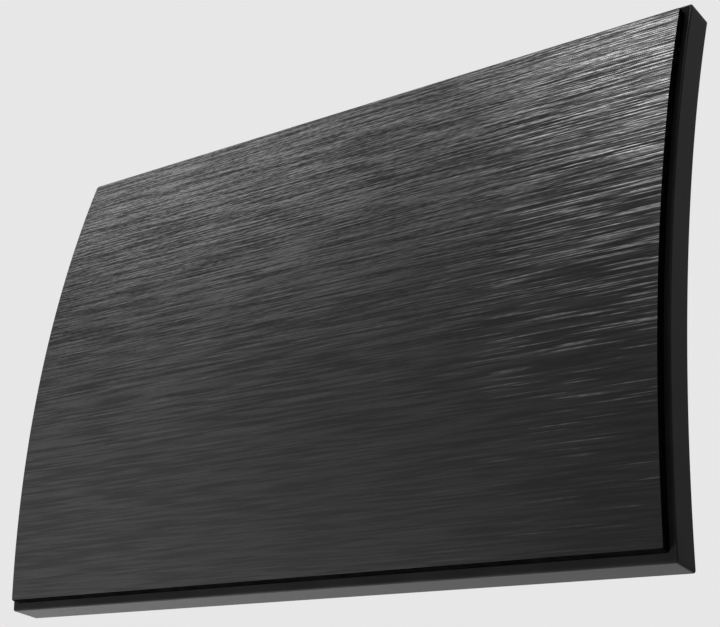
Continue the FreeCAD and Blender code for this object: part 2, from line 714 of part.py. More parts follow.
def add_board_bosses(body):
    """Two bosses that reach from the roof of the hump to the board."""
    spots = board_screw_spots()
    end = f"({BOARD_BACK} + sizes.board_pilot_depth)"
    posts(body, "Pad", "board_bosses", spots, BOARD_BACK, HUMP_ROOF, "sizes.board_boss_radius")
    posts(body, "Pocket", "board_pilots", spots, BOARD_BACK, end, "sizes.board_pilot_radius")


def build_rear_cover():
    """Moulded back: curved skin with cups, seats, keyholes, hump and plug recess."""
    body = new_body("rear_cover")
    skin = band(body, "Pad", "skin", COVER_FRONT, COVER_BACK, COVER_HALF, COVER_WIDTH)
    corner = at_corners(f"{COVER_WIDTH} / 2", COVER_HALF, f"-{COVER_HALF}")
    soften(body, "Fillet", "skin_corners", skin, corner, "sizes.cover_corner_round")
    add_socket_hump(body)
    hollow_hump(body)
    add_board_bosses(body)
    add_cover_screw_cups(body)
    add_foot_seats(body)
    add_keyholes(body)


def build_cover_screws():
    """Four screws that hold the cover to the surround."""
    master = screw_master(
        "cover_screw",
        "sizes.screw_head_radius",
        "sizes.screw_head_thick",
        "sizes.screw_length",
        "(sizes.pilot_radius - sizes.fit_gap)",
        ("sizes.screw_slot_width", "sizes.screw_slot_length", "sizes.screw_slot_depth"),
    )
    spots = [(across, HEAD_DEPTH, up) for across, up in corner_spots(SCREW_COLUMN, SCREW_ROW)]
    scatter("cover_screws", master, spots, head_forward=False)


def build_wall_feet():
    """Four square rubber feet with cut corners that bear on the wall."""
    half = "sizes.foot_half"
    cut = "(sizes.foot_half - sizes.foot_corner)"
    corners = (
        (half, f"-{cut}"),
        (half, cut),
        (cut, half),
        (f"-{cut}", half),
        (f"-{half}", cut),
        (f"-{half}", f"-{cut}"),
        (f"-{cut}", f"-{half}"),
        (cut, f"-{half}"),
    )
    for level, up in LEVELS:
        for side, across in SIDES:
            body = new_body(f"wall_foot_{level}_{side}")
            outline = new_sketch(body, "foot_outline", "XZ_Plane", ("0", "0", f"-{WALL_DEPTH}"))
            middle = f"{across} * {FOOT_COLUMN}"
            height = f"{up} * {FOOT_ROW}"
            draw_loop(outline, [(f"{middle} + {along}", f"{height} + {rise}") for along, rise in corners])
            extrude(body, "Pad", "foot", outline, f"{WALL_DEPTH} - {FOOT_SEAT_DEPTH}")


def build_antenna_film():
    """Carrier film bonded to the back of the plate's skin."""
    body = new_body("antenna_film")
    band(body, "Pad", "film", FILM_FRONT, FILM_BACK, FILM_HALF, FILM_WIDTH)


def build_radiators():
    """Two foil loops that flare from the feed in the middle, each with a strip up to its spring."""
    inner = "(sizes.foil_gap / 2)"
    strip = f"({inner} + sizes.feed_strip)"
    strip_top = "(sizes.feed_row + sizes.feed_overrun)"
    edge = f"({FOIL_REACH} - sizes.foil_band)"
    window_flare = f"({FOIL_FLARE} - sizes.foil_window_inset)"
    outline = (
        (inner, "-sizes.foil_neck / 2"),
        (FOIL_REACH, f"-{FOIL_FLARE}"),
        (FOIL_REACH, FOIL_FLARE),
        (strip, "sizes.foil_neck / 2"),
        (strip, strip_top),
        (inner, strip_top),
    )
    window = (
        ("sizes.foil_window_start", "-sizes.foil_window_neck / 2"),
        (edge, f"-{window_flare}"),
        (edge, window_flare),
        ("sizes.foil_window_start", "sizes.foil_window_neck / 2"),
    )
    sheet_width = f"({FILM_WIDTH} - sizes.foil_margin)"
    sheet_half = f"({FILM_HALF} - sizes.foil_margin)"
    trim_depth = layer_depth(FOIL_BACK, FILM_HALF)
    for side, sign in SIDES:
        body = new_body(f"radiator_{side}")
        band(body, "Pad", "foil", FOIL_FRONT, FOIL_BACK, sheet_half, sheet_width)
        trim = new_sketch(body, "foil_outline", "XZ_Plane", ("0", "0", f"-{trim_depth}"))
        draw_loop(trim, rectangle(f"-{FILM_WIDTH} / 2", f"{FILM_WIDTH} / 2", f"-{FILM_HALF}", FILM_HALF))
        draw_loop(trim, [(f"{sign} * ({across})", up) for across, up in outline])
        draw_loop(trim, [(f"{sign} * ({across})", up) for across, up in window])
        extrude(body, "Pocket", "foil_trim", trim, "4 * sizes.bulge", symmetric=True)


def build_balun_board():
    """Matching board with holes for its screws, the socket's legs and the contact's tail."""
    body = new_body("balun_board")
    outline = new_sketch(body, "board_outline", "XZ_Plane", ("0", "0", f"-{BOARD_BACK}"))
    draw_loop(outline, rectangle("-sizes.board_width / 2", "sizes.board_width / 2", BOARD_LOW, BOARD_HIGH))
    for across, up in board_screw_spots():
        draw_circle(outline, across, up, "sizes.board_hole_radius")
    for across, up in leg_spots():
        draw_loop(outline, square(across, up, "(sizes.leg_width / 2 + sizes.leg_gap)"))
    draw_loop(outline, square("0", TAIL_HEIGHT, "(sizes.tail_width / 2 + sizes.leg_gap)"))
    extrude(body, "Pad", "board", outline, "sizes.board_thick")


def leg_spots():
    """Give the four places of the socket's legs across and up."""
    rows = (f"({SOCKET_LOW} + sizes.leg_inset)", f"({SOCKET_HIGH} - sizes.leg_inset)")
    return [(f"{across} * sizes.leg_column", up) for up in rows for _, across in SIDES]


def build_balun_core():
    """Ferrite core with two holes."""
    body = new_body("balun_core")
    outline = new_sketch(body, "core_outline", "XY_Plane", ("0", CORE_DEPTH, CORE_LOW))
    half_width = "sizes.core_width / 2"
    half_depth = "sizes.core_depth / 2"
    draw_loop(outline, rectangle(f"-{half_width}", half_width, f"-{half_depth}", half_depth))
    spread = "sizes.core_hole_spread / 2"
    for _, across in SIDES:
        draw_circle(outline, f"{across} * {spread}", "0", "sizes.core_hole_radius")
    core = extrude(body, "Pad", "core", outline, "sizes.core_length")
    wide = number(half_width)

    def upright(ends):
        return near(abs(ends[0].x), wide) and not near(ends[0].z, ends[-1].z)

    soften(body, "Fillet", "core_rounding", core, upright, "sizes.core_round")


def build_balun_winding():
    """Two staples of square wire, each through one hole of the core and down to the board."""
    half = "(sizes.wire_width / 2)"
    leg_low = f"({CORE_LOW} - sizes.wire_overrun)"
    leg_high = f"({CORE_HIGH} + sizes.wire_overrun)"
    staple = (
        (BOARD_BACK, leg_low),
        (f"{CORE_DEPTH} + {half}", leg_low),
        (f"{CORE_DEPTH} + {half}", leg_high),
        (BOARD_BACK, leg_high),
        (BOARD_BACK, f"{leg_high} - sizes.wire_width"),
        (f"{CORE_DEPTH} - {half}", f"{leg_high} - sizes.wire_width"),
        (f"{CORE_DEPTH} - {half}", f"{leg_low} + sizes.wire_width"),
        (BOARD_BACK, f"{leg_low} + sizes.wire_width"),
    )
    body = new_body("balun_winding")
    body.AllowCompound = True
    for side, across in SIDES:
        middle = f"{across} * sizes.core_hole_spread / 2"
        side_prism(body, "Pad", f"staple_{side}", staple, middle, "sizes.wire_width")


def build_chip_capacitors():
    """Two small capacitors on the back of the board."""
    body = DOC.addObject("PartDesign::Body", "chip")
    outline = new_sketch(body, "chip_outline", "XY_Plane")
    wide = "sizes.chip_width / 2"
    tall = "sizes.chip_height / 2"
    draw_loop(outline, rectangle(f"-{wide}", wide, f"-{tall}", tall))
    extrude(body, "Pad", "chip_block", outline, "sizes.chip_thick")
    spots = [(f"{across} * sizes.chip_column", BOARD_BACK, "sizes.chip_row") for _, across in SIDES]
    scatter("chip_capacitors", body, spots, head_forward=False)


def build_feed_springs():
    """Leaf springs soldered to the front of the board that press on the foil."""
    base_end = "(sizes.spring_start + sizes.spring_base)"
    arm_end = f"({base_end} + sizes.spring_arm)"
    tip_end = f"({arm_end} + sizes.spring_tip)"
    slack = "sizes.spring_thick * 2 / 3"
    outline = (
        ("sizes.spring_start", BOARD_FRONT),
        (base_end, BOARD_FRONT),
        (arm_end, f"{SPRING_DEPTH} + sizes.spring_thick"),
        (tip_end, f"{SPRING_DEPTH} + sizes.spring_thick"),
        (tip_end, SPRING_DEPTH),
        (f"{arm_end} - {slack}", SPRING_DEPTH),
        (f"{base_end} - {slack}", f"{BOARD_FRONT} - sizes.spring_thick"),
        ("sizes.spring_start", f"{BOARD_FRONT} - sizes.spring_thick"),
    )
    for side, sign in SIDES:
        body = new_body(f"feed_spring_{side}")
        leaf = new_sketch(body, "leaf_outline", "XY_Plane", ("0", "0", "sizes.feed_row"))
        draw_loop(leaf, [(f"{sign} * ({across})", depth) for across, depth in outline])
        extrude(body, "Pad", "leaf", leaf, "sizes.spring_width", symmetric=True)


def build_board_screws():
    """Two screws that hold the board to its bosses."""
    master = screw_master(
        "board_screw",
        "sizes.board_screw_head_radius",
        "sizes.board_screw_head_thick",
        "sizes.board_screw_length",
        "(sizes.board_pilot_radius - sizes.fit_gap)",
        ("sizes.board_slot_width", "sizes.board_slot_length", "sizes.board_slot_depth"),
    )
    spots = [(across, BOARD_FRONT, up) for across, up in board_screw_spots()]
    scatter("board_screws", master, spots, head_forward=True)


def build_coax_socket():
    """Threaded socket: plated body, insulator, spring contact, washer and nut."""
    body = new_body("coax_socket_body")
    half = "sizes.socket_half"
    block = new_sketch(body, "block_outline", "XY_Plane", ("0", SOCKET_DEPTH, SOCKET_LOW))
    draw_loop(block, rectangle(f"-{half}", half, f"-{half}", half))
    extrude(body, "Pad", "block", block, "sizes.socket_length")
    column(body, "Additive", "neck", SOCKET_DEPTH, THREAD_HIGH, SOCKET_LOW, "sizes.neck_radius")
    column(body, "Additive", "thread", SOCKET_DEPTH, THREAD_LOW, THREAD_HIGH, "sizes.thread_radius")
    legs = new_sketch(body, "legs_outline", "XZ_Plane", ("0", "0", f"-{BOARD_BACK}"))
    for across, up in leg_spots():
        draw_loop(legs, square(across, up, "(sizes.leg_width / 2)"))
    extrude(body, "Pad", "legs", legs, f"{BOARD_BACK} - {LEG_DEPTH}")
    column(body, "Subtractive", "bore", SOCKET_DEPTH, THREAD_LOW, SOCKET_HIGH, "sizes.socket_bore_radius")

    insulator = new_body("coax_socket_insulator")
    sleeve = new_sketch(insulator, "sleeve_outline", "XY_Plane", ("0", SOCKET_DEPTH, INSULATOR_LOW))
    draw_circle(sleeve, "0", "0", "sizes.socket_bore_radius - sizes.fit_gap")
    draw_circle(sleeve, "0", "0", "sizes.contact_radius + sizes.fit_gap")
    extrude(insulator, "Pad", "sleeve", sleeve, f"{SOCKET_HIGH} - {INSULATOR_LOW}")

    contact = new_body("coax_socket_contact")
    bore_end = f"({CONTACT_LOW} + sizes.contact_bore_depth)"
    column(contact, "Additive", "pin", SOCKET_DEPTH, CONTACT_LOW, SOCKET_HIGH, "sizes.contact_radius")
    bore = "sizes.contact_bore_radius"
    column(contact, "Subtractive", "pin_bore", SOCKET_DEPTH, CONTACT_LOW, bore_end, bore)
    half_tail = "(sizes.tail_width / 2)"
    tail = (
        (f"{SOCKET_DEPTH} + {half_tail}", SOCKET_HIGH),
        (f"{SOCKET_DEPTH} + {half_tail}", f"{TAIL_HEIGHT} + {half_tail}"),
        (LEG_DEPTH, f"{TAIL_HEIGHT} + {half_tail}"),
        (LEG_DEPTH, f"{TAIL_HEIGHT} - {half_tail}"),
        (f"{SOCKET_DEPTH} - {half_tail}", f"{TAIL_HEIGHT} - {half_tail}"),
        (f"{SOCKET_DEPTH} - {half_tail}", SOCKET_HIGH),
    )
    side_prism(contact, "Pad", "tail", tail, "0", "sizes.tail_width")

    washer = new_body("coax_socket_washer")
    ring = new_sketch(washer, "ring_outline", "XY_Plane", ("0", SOCKET_DEPTH, WASHER_LOW))
    draw_circle(ring, "0", "0", "sizes.washer_radius")
    draw_circle(ring, "0", "0", "sizes.thread_radius + sizes.fit_gap")
    extrude(washer, "Pad", "ring", ring, "sizes.washer_thick")

    nut = new_body("coax_socket_nut")
    hexagon = new_sketch(nut, "hexagon_outline", "XY_Plane", ("0", SOCKET_DEPTH, NUT_LOW))
    flat = "(sizes.nut_flats / 2)"
    point = f"({flat} / cos(30))"
    draw_loop(
        hexagon,
        (
            (point, "0"),
            (f"{point} / 2", flat),
            (f"-{point} / 2", flat),
            (f"-{point}", "0"),
            (f"-{point} / 2", f"-{flat}"),
            (f"{point} / 2", f"-{flat}"),
        ),
    )
    draw_circle(hexagon, "0", "0", "sizes.neck_radius + sizes.fit_gap")
    extrude(nut, "Pad", "hexagon", hexagon, "sizes.nut_thick")


def write_parts():
    """Check every object of the document and write one file for each node."""
    DOC.recompute()
    for item in DOC.Objects:
        if "Invalid" in item.State or "Error" in item.State:
            raise RuntimeError(f"{item.Label} failed: {item.State}")
    os.makedirs(PARTS_FOLDER, exist_ok=True)
    for node in NODES:
        if node.Shape.isNull() or not node.Shape.isValid():
            raise RuntimeError(f"{node.Label} has no valid shape")
        node.Shape.exportStep(os.path.join(PARTS_FOLDER, f"{node.Label}.step"))


build_front_panel()
build_panel_tape()
build_bezel_frame()
build_rear_cover()
build_cover_screws()
build_wall_feet()
build_antenna_film()
build_radiators()
build_balun_board()
build_balun_core()
build_balun_winding()
build_chip_capacitors()
build_feed_springs()
build_board_screws()
build_coax_socket()
write_parts()
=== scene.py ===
"""Looks of a curved panel TV antenna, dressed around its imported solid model."""

import json
import logging
import math
from dataclasses import dataclass, field
from enum import Enum
from typing import Any, Callable, Iterator, Optional, Sequence, Union

import bmesh
import bpy
from mathutils import Matrix, Vector


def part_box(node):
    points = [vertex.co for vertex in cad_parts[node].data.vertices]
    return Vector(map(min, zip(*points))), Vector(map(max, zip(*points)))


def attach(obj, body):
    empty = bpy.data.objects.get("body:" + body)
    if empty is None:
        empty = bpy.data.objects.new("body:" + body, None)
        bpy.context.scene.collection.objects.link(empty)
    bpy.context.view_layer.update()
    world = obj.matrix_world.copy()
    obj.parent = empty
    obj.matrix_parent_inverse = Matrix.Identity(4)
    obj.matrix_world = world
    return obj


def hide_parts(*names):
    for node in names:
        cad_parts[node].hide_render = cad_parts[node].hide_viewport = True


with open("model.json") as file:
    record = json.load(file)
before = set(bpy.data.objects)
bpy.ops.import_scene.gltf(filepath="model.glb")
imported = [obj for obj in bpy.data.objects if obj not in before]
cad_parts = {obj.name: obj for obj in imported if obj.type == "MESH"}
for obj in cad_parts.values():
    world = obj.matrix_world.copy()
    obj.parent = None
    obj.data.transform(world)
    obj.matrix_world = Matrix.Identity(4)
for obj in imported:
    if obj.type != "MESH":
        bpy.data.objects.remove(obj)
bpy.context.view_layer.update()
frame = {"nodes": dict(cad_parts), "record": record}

LOG = logging.getLogger("tv_antenna")
MM = 0.001
TURN = 2 * math.pi
NOISE_MIDDLE = 0.5

RIGHT = Vector((1.0, 0.0, 0.0))
BACK = Vector((0.0, 1.0, 0.0))
UP = Vector((0.0, 0.0, 1.0))

Colour = tuple[float, float, float]
Extent = tuple[float, float, float]
Span = tuple[float, float]
Reach = Union[float, Callable[[float], float]]
Term = Union["Value", float]


class Slot(Enum):
    """Material slots of the record."""

    FRONT = "brushed_front"
    FRAME = "frame_plastic"
    COVER = "cover_plastic"
    TAPE = "adhesive_foam"
    SCREW = "screw_steel"
    FOOT = "foot_rubber"
    FILM = "carrier_film"
    FOIL = "foil"
    BOARD = "board_laminate"
    FERRITE = "ferrite"
    WIRE = "copper_wire"
    CHIP = "chip_ceramic"
    SPRING = "spring_bronze"
    SOCKET = "plated_socket"
    INSULATOR = "socket_insulator"


class Side(Enum):
    """Left and right half of the panel, seen from the front."""

    LEFT = -1
    RIGHT = 1


class Level(Enum):
    """Upper and lower half of the panel."""

    UPPER = 1
    LOWER = -1


class Mark(Enum):
    """Faces of a piece with two finishes: its main face and its edge."""

    MAIN = 0
    EDGE = 1


def grey(tone: float) -> Colour:
    """Give a neutral colour."""
    return (tone, tone, tone)


class Value:
    """One output of a shader node; arithmetic on it adds Math nodes."""

    def __init__(self, tree: "ShaderTree", socket: bpy.types.NodeSocket) -> None:
        """Keep the socket and the tree that it belongs to."""
        self.tree = tree
        self.socket = socket

    def _math(self, operation: str, first: Term, second: Term) -> "Value":
        """Add one Math node."""
        return self.tree.add("ShaderNodeMath", {0: first, 1: second}, operation=operation)

    def __add__(self, other: Term) -> "Value":
        """Sum."""
        return self._math("ADD", self, other)

    def __radd__(self, other: float) -> "Value":
        """Sum with a number on the left."""
        return self._math("ADD", other, self)

    def __sub__(self, other: Term) -> "Value":
        """Difference."""
        return self._math("SUBTRACT", self, other)

    def __rsub__(self, other: float) -> "Value":
        """Difference from a number on the left."""
        return self._math("SUBTRACT", other, self)

    def __mul__(self, other: Term) -> "Value":
        """Product."""
        return self._math("MULTIPLY", self, other)

    def __rmul__(self, other: float) -> "Value":
        """Product with a number on the left."""
        return self._math("MULTIPLY", other, self)

    def between(self, low: float, high: float) -> "Value":
        """Stretch the range from low to high onto 0 to 1, softly and with no overshoot.

        Args:
            low: Input that gives 0.
            high: Input that gives 1.

        Returns:
            The stretched value.
        """
        inputs = {"Value": self, "From Min": low, "From Max": high}
        return self.tree.add("ShaderNodeMapRange", inputs, interpolation_type="SMOOTHSTEP")

    def spread(self, low: float, high: float) -> "Value":
        """Give low where this is 0 and high where it is 1."""
        return low + self * (high - low)

    def sway(self, amount: float) -> "Value":
        """Give the distance from the middle of a noise, times an amount."""
        return (self - NOISE_MIDDLE) * amount

    def either(self, other: Term) -> "Value":
        """Larger of two values."""
        return self._math("MAXIMUM", self, other)


Input = Union[Value, float, Sequence[float]]


class ShaderTree:
    """Node tree of a material or of the world."""

    def __init__(self, owner: Union[bpy.types.Material, bpy.types.World]) -> None:
        """Empty the owner's node tree.

        Args:
            owner: Material or world whose nodes are built here.
        """
        owner.use_nodes = True
        self.nodes = owner.node_tree.nodes
        self.links = owner.node_tree.links
        self.nodes.clear()

    def add(
        self,
        kind: str,
        inputs: Optional[dict[Union[str, int], Input]] = None,
        output: Union[str, int] = 0,
        **settings: Any,
    ) -> Value:
        """Add one node.

        Args:
            kind: Node type.
            inputs: Values or links of its sockets, by name or place.
            output: Socket that is handed on.
            **settings: Properties of the node, set before its sockets.

        Returns:
            The chosen output.
        """
        node = self.nodes.new(kind)
        for name, setting in settings.items():
            setattr(node, name, setting)
        for key, given in (inputs or {}).items():
            socket = node.inputs[key]
            if isinstance(given, Value):
                self.links.new(given.socket, socket)
            else:
                socket.default_value = given
        return Value(self, node.outputs[output] if node.outputs else None)

    def along(self, axis: str) -> Value:
        """Give the place along one of the object's own axes, in metres."""
        place = self.add("ShaderNodeTexCoord", output="Object")
        return self.add("ShaderNodeSeparateXYZ", {0: place}, axis)

    def noise(self, grain: Extent, detail: float = 2.0, rough: float = 0.55, seed: float = 0.0) -> Value:
        """Noise over the object's own coordinates.

        Args:
            grain: Length of one feature along X, Y and Z, in metres.
            detail: Octaves beyond the first.
            rough: Share of each further octave.
            seed: Shift of the pattern, in features.

        Returns:
            A value about 0.5.
        """
        place = self.add("ShaderNodeTexCoord", output="Object")
        scale = tuple(1 / size for size in grain)
        spread = self.add(
            "ShaderNodeVectorMath", {0: place, 1: scale, 2: (seed,) * 3}, operation="MULTIPLY_ADD"
        )
        inputs = {"Vector": spread, "Scale": 1.0, "Detail": detail, "Roughness": rough}
        return self.add("ShaderNodeTexNoise", inputs, "Fac")

    def blend(self, share: Term, first: Union[Colour, Value], second: Union[Colour, Value]) -> Value:
        """Mix two colours.

        Args:
            share: Amount of the second colour.
            first: Colour at 0.
            second: Colour at 1.

        Returns:
            The mixed colour.
        """
        first, second = ((*c, 1.0) if isinstance(c, tuple) else c for c in (first, second))
        inputs = {0: share, 6: first, 7: second}
        return self.add("ShaderNodeMix", inputs, 2, data_type="RGBA", clamp_factor=True)

    def bump(self, height: Value, depth: float, strength: float = 1.0) -> Value:
        """Turn a height into a tilted normal.

        Args:
            height: Height from 0 to 1.
            depth: Depth of the relief in metres.
            strength: Share of the tilt that is used.

        Returns:
            The normal.
        """
        inputs = {"Height": height, "Distance": depth, "Strength": strength}
        return self.add("ShaderNodeBump", inputs)

    def shown(self) -> Value:
        """Tell what is looked at from what only gives light.

        Returns:
            1 for what the camera sees directly, mirrored or through glass, and 0 otherwise.
        """
        names = ("Is Camera Ray", "Is Glossy Ray", "Is Transmission Ray")
        direct, mirrored, through = (self.add("ShaderNodeLightPath", output=name) for name in names)
        return direct.either(mirrored).either(through)

    def surface(self, inputs: dict[str, Input]) -> None:
        """Close the tree with one Principled shader.

        Args:
            inputs: Sockets of the shader by name.
        """
        shader = self.add("ShaderNodeBsdfPrincipled", inputs)
        self.add("ShaderNodeOutputMaterial", {"Surface": shader})


@dataclass(frozen=True)
class Finish:
    """Base of every finish: a name and the material made from it once."""

    name: str

    def material(self) -> bpy.types.Material:
        """Give the finish's material, made on first use.

        Returns:
            The material.
        """
        known = bpy.data.materials.get(self.name)
        if known:
            return known
        made = bpy.data.materials.new(self.name)
        self.paint(ShaderTree(made))
        return made

    def paint(self, tree: ShaderTree) -> None:
        """Build the node tree.

        Args:
            tree: Empty tree of the new material.
        """
        raise NotImplementedError


@dataclass(frozen=True)
class BrushedBlack(Finish):
    """Black metal look with hairlines along the width; the bright streaks towards the upper right are a
    painted highlight and the darker right end is painted shade.
    """

    dark: Colour = (0.0086, 0.0086, 0.0088)
    light: Colour = (0.0365, 0.0365, 0.0369)
    # Painted shade: darker colour blended in towards the right end.
    painted_shade: Colour = (0.006, 0.006, 0.0062)
    # Painted highlight: colour of the bright streaks at the upper right.
    painted_glint: Colour = (0.165, 0.165, 0.166)
    fine: Extent = (15 * MM, 60 * MM, 0.42 * MM)
    plain: Extent = (30 * MM, 60 * MM, 0.80 * MM)
    broad: Extent = (80 * MM, 60 * MM, 2.4 * MM)
    dash: Extent = (2.2 * MM, 30 * MM, 0.5 * MM)
    streak: Extent = (22 * MM, 60 * MM, 0.46 * MM)
    # Where the painted highlight and shade gather: rise runs from the foot to near the top, right from
    # right of the middle to the right end.
    rise: Span = (-125 * MM, 15 * MM)
    right: Span = (36 * MM, 124 * MM)
    line_shares: tuple[float, float, float] = (0.4, 0.5, 0.1)
    line_range: Span = (0.36, 0.66)
    # Hairline and dash contrast grow towards the top: the grain is the metal's own, and its growth is
    # painted highlight.
    line_contrast: Span = (0.3, 0.8)
    dash_contrast: Span = (0.12, 1.17)
    # Share of the painted shade at the right end.
    right_shade: float = 0.25
    # Shape of the painted highlight streaks.
    streak_shares: tuple[float, float, float] = (0.7, 0.3, 0.16)
    streak_range: Span = (0.60, 0.77)
    streak_breaks: Span = (0.2, 1.8)
    streak_across: Span = (0.1, 0.78)
    streak_foot: float = 0.25
    streak_swell: float = 1.2
    streak_crest: float = 1.4
    # Painted sheen: an even brightening of the upper right end, where the lamp's highlight falls.
    painted_sheen: float = 0.02
    metal: float = 0.96
    glance: Colour = grey(0.5)
    gloss: float = 0.34
    gloss_break: float = 0.08
    drawn: float = 0.7
    drawn_turn: float = 0.25
    groove: float = 0.12 * MM
    groove_tilt: float = 0.6

    def hairlines(self, tree: ShaderTree, fine: Value, dash: Value, rise: Value) -> Value:
        """Mix hairlines of three widths and short dashes; their colour contrast grows towards the top as
        a painted highlight on the metal's own grain.

        Args:
            tree: Tree of the material.
            fine: Finest hairlines.
            dash: Short dashes.
            rise: 0 at the foot of the plate and 1 near its top.

        Returns:
            A value about 0.5.
        """
        plain = tree.noise(self.plain, detail=0.0)
        broad = tree.noise(self.broad, detail=1.0, seed=7.3)
        of_fine, of_plain, of_broad = self.line_shares
        mark = (fine * of_fine + plain * of_plain + broad * of_broad).between(*self.line_range)
        # The contrast that grows with rise is painted highlight.
        speck = (dash - NOISE_MIDDLE) * (rise * rise).spread(*self.dash_contrast)
        return NOISE_MIDDLE + (mark - NOISE_MIDDLE) * rise.spread(*self.line_contrast) + speck

    def streaks(self, tree: ShaderTree, fine: Value, dash: Value, rise: Value, right: Value) -> Value:
        """Scatter bright broken streaks that gather towards the upper right, a painted highlight where
        the lamp's highlight falls.

        Args:
            tree: Tree of the material.
            fine: Finest hairlines, which fray the streaks.
            dash: Short dashes, which break them.
            rise: 0 at the foot of the plate and 1 near its top.
            right: 0 left of the middle and 1 at the right end.

        Returns:
            Amount of the painted highlight colour.
        """
        streak = tree.noise(self.streak, detail=0.0, seed=1.1)
        of_streak, of_fine, of_rise = self.streak_shares
        sharp = (streak * of_streak + fine * of_fine + rise * of_rise).between(*self.streak_range)
        broken = sharp * dash.spread(*self.streak_breaks)
        swell = self.streak_foot + rise * (self.streak_crest - rise) * self.streak_swell
        # Painted highlight streaks, plus a painted sheen that grows towards the upper right.
        return broken * right.spread(*self.streak_across) * swell + right * rise * rise * self.painted_sheen

    def paint(self, tree: ShaderTree) -> None:
        """Layer the hairlines, the painted shade at the right end and the painted highlight streaks.

        Args:
            tree: Empty tree of the new material.
        """
        fine = tree.noise(self.fine, detail=0.0, seed=1.9)
        dash = tree.noise(self.dash, detail=0.0, seed=3.1)
        rise = tree.along("Z").between(*self.rise)
        right = tree.along("X").between(*self.right)
        line = self.hairlines(tree, fine, dash, rise)
        # Painted highlight: bright streaks that gather at the upper right.
        bright = self.streaks(tree, fine, dash, rise, right)
        # Painted shade: the hairline tone darkens towards the right end.
        tone = tree.blend(right * self.right_shade, tree.blend(line, self.dark, self.light), self.painted_shade)
        tree.surface(
            {
                "Base Color": tree.blend(bright, tone, self.painted_glint),
                "Metallic": self.metal,
                "Specular Tint": (*self.glance, 1.0),
                "Roughness": self.gloss - line.sway(self.gloss_break),
                "Anisotropic": self.drawn,
                "Anisotropic Rotation": self.drawn_turn,
                "Normal": tree.bump(line, self.groove, self.groove_tilt),
            }
        )


@dataclass(frozen=True)
class MouldedPlastic(Finish):
    """Dark moulded plastic with a fine spark-eroded grain."""

    colour: Colour = (0.010, 0.010, 0.0102)
    worn: Colour = (0.014, 0.014, 0.0142)
    gloss: float = 0.36
    specular: float = 0.02
    grain: float = 0.35 * MM
    relief: float = 0.01 * MM
    relief_tilt: float = 0.6
    cloud: float = 22 * MM
    cloud_range: Span = (0.35, 0.7)
    gloss_grain: float = 0.12
    gloss_cloud: float = 0.10

    def paint(self, tree: ShaderTree) -> None:
        """Vary the tone in clouds and raise a fine grain.

        Args:
            tree: Empty tree of the new material.
        """
        grain = tree.noise((self.grain,) * 3, detail=2.0, rough=0.6)
        cloud = tree.noise((self.cloud,) * 3, detail=3.0, rough=0.6, seed=4.4)
        tree.surface(
            {
                "Base Color": tree.blend(cloud.between(*self.cloud_range), self.colour, self.worn),
                "Roughness": self.gloss + grain.sway(self.gloss_grain) + cloud.sway(self.gloss_cloud),
                "Specular IOR Level": self.specular,
                "Normal": tree.bump(grain, self.relief, self.relief_tilt),
            }
        )


@dataclass(frozen=True)
class PlainMetal(Finish):
    """Plated, rolled or drawn metal with a faint cloudy tarnish."""

    colour: Colour = (0.62, 0.60, 0.56)
    tarnish: Colour = (0.42, 0.39, 0.34)
    gloss: float = 0.22
    gloss_cloud: float = 0.12
    gloss_scratch: float = 0.10
    cloud: float = 3.5 * MM
    cloud_range: Span = (0.42, 0.78)
    scratch: Extent = (6 * MM, 6 * MM, 0.12 * MM)
    scratch_depth: float = 0.003 * MM
    scratch_tilt: float = 0.4

    def paint(self, tree: ShaderTree) -> None:
        """Cloud the colour and break the gloss with fine scratches.

        Args:
            tree: Empty tree of the new material.
        """
        cloud = tree.noise((self.cloud,) * 3, detail=4.0, rough=0.6)
        scratch = tree.noise(self.scratch, detail=2.0, rough=0.6, seed=2.2)
        tree.surface(
            {
                "Base Color": tree.blend(cloud.between(*self.cloud_range), self.colour, self.tarnish),
                "Metallic": 1.0,
                "Roughness": self.gloss + cloud * self.gloss_cloud + scratch.sway(self.gloss_scratch),
                "Normal": tree.bump(scratch, self.scratch_depth, self.scratch_tilt),
            }
        )


@dataclass(frozen=True)
class SoftMatter(Finish):
    """Rubber, foam, resin, film or ceramic with a mottled, dull face."""

    colour: Colour = grey(0.02)
    mottle: Colour = grey(0.03)
    gloss: float = 0.7
    gloss_grain: float = 0.16
    specular: float = 0.5
    grain: float = 0.5 * MM
    relief: float = 0.02 * MM
    relief_tilt: float = 0.5
    cloud: float = 4.5 * MM
    cloud_range: Span = (0.3, 0.7)

    def paint(self, tree: ShaderTree) -> None:
        """Mottle the colour and roughen the face.

        Args:
            tree: Empty tree of the new material.
        """
        grain = tree.noise((self.grain,) * 3, detail=3.0, rough=0.6)
        cloud = tree.noise((self.cloud,) * 3, detail=2.0, rough=0.5, seed=5.7)
        tree.surface(
            {
                "Base Color": tree.blend(cloud.between(*self.cloud_range), self.colour, self.mottle),
                "Roughness": self.gloss + grain.sway(self.gloss_grain),
                "Specular IOR Level": self.specular,
                "Normal": tree.bump(grain, self.relief, self.relief_tilt),
            }
        )


@dataclass(frozen=True)
class PaleFloor(Finish):
    """Plain floor that shows pale and still takes the object's shadow."""

    colour: Colour = grey(0.78)
    mottle: Colour = grey(0.80)
    share: float = 0.82
    cloud: float = 0.4
    cloud_range: Span = (0.3, 0.7)

    def paint(self, tree: ShaderTree) -> None:
        """Mix the lit floor with its own even tone where it is looked at.

        Args:
            tree: Empty tree of the new material.
        """
        cloud = tree.noise((self.cloud,) * 3, detail=2.0, rough=0.5)
        tone = tree.blend(cloud.between(*self.cloud_range), self.colour, self.mottle)
        lit = tree.add("ShaderNodeBsdfDiffuse", {"Color": tone})
        even = tree.add("ShaderNodeEmission", {"Color": tone})
        mixed = tree.add("ShaderNodeMixShader", {0: tree.shown() * self.share, 1: lit, 2: even})
        tree.add("ShaderNodeOutputMaterial", {"Surface": mixed})


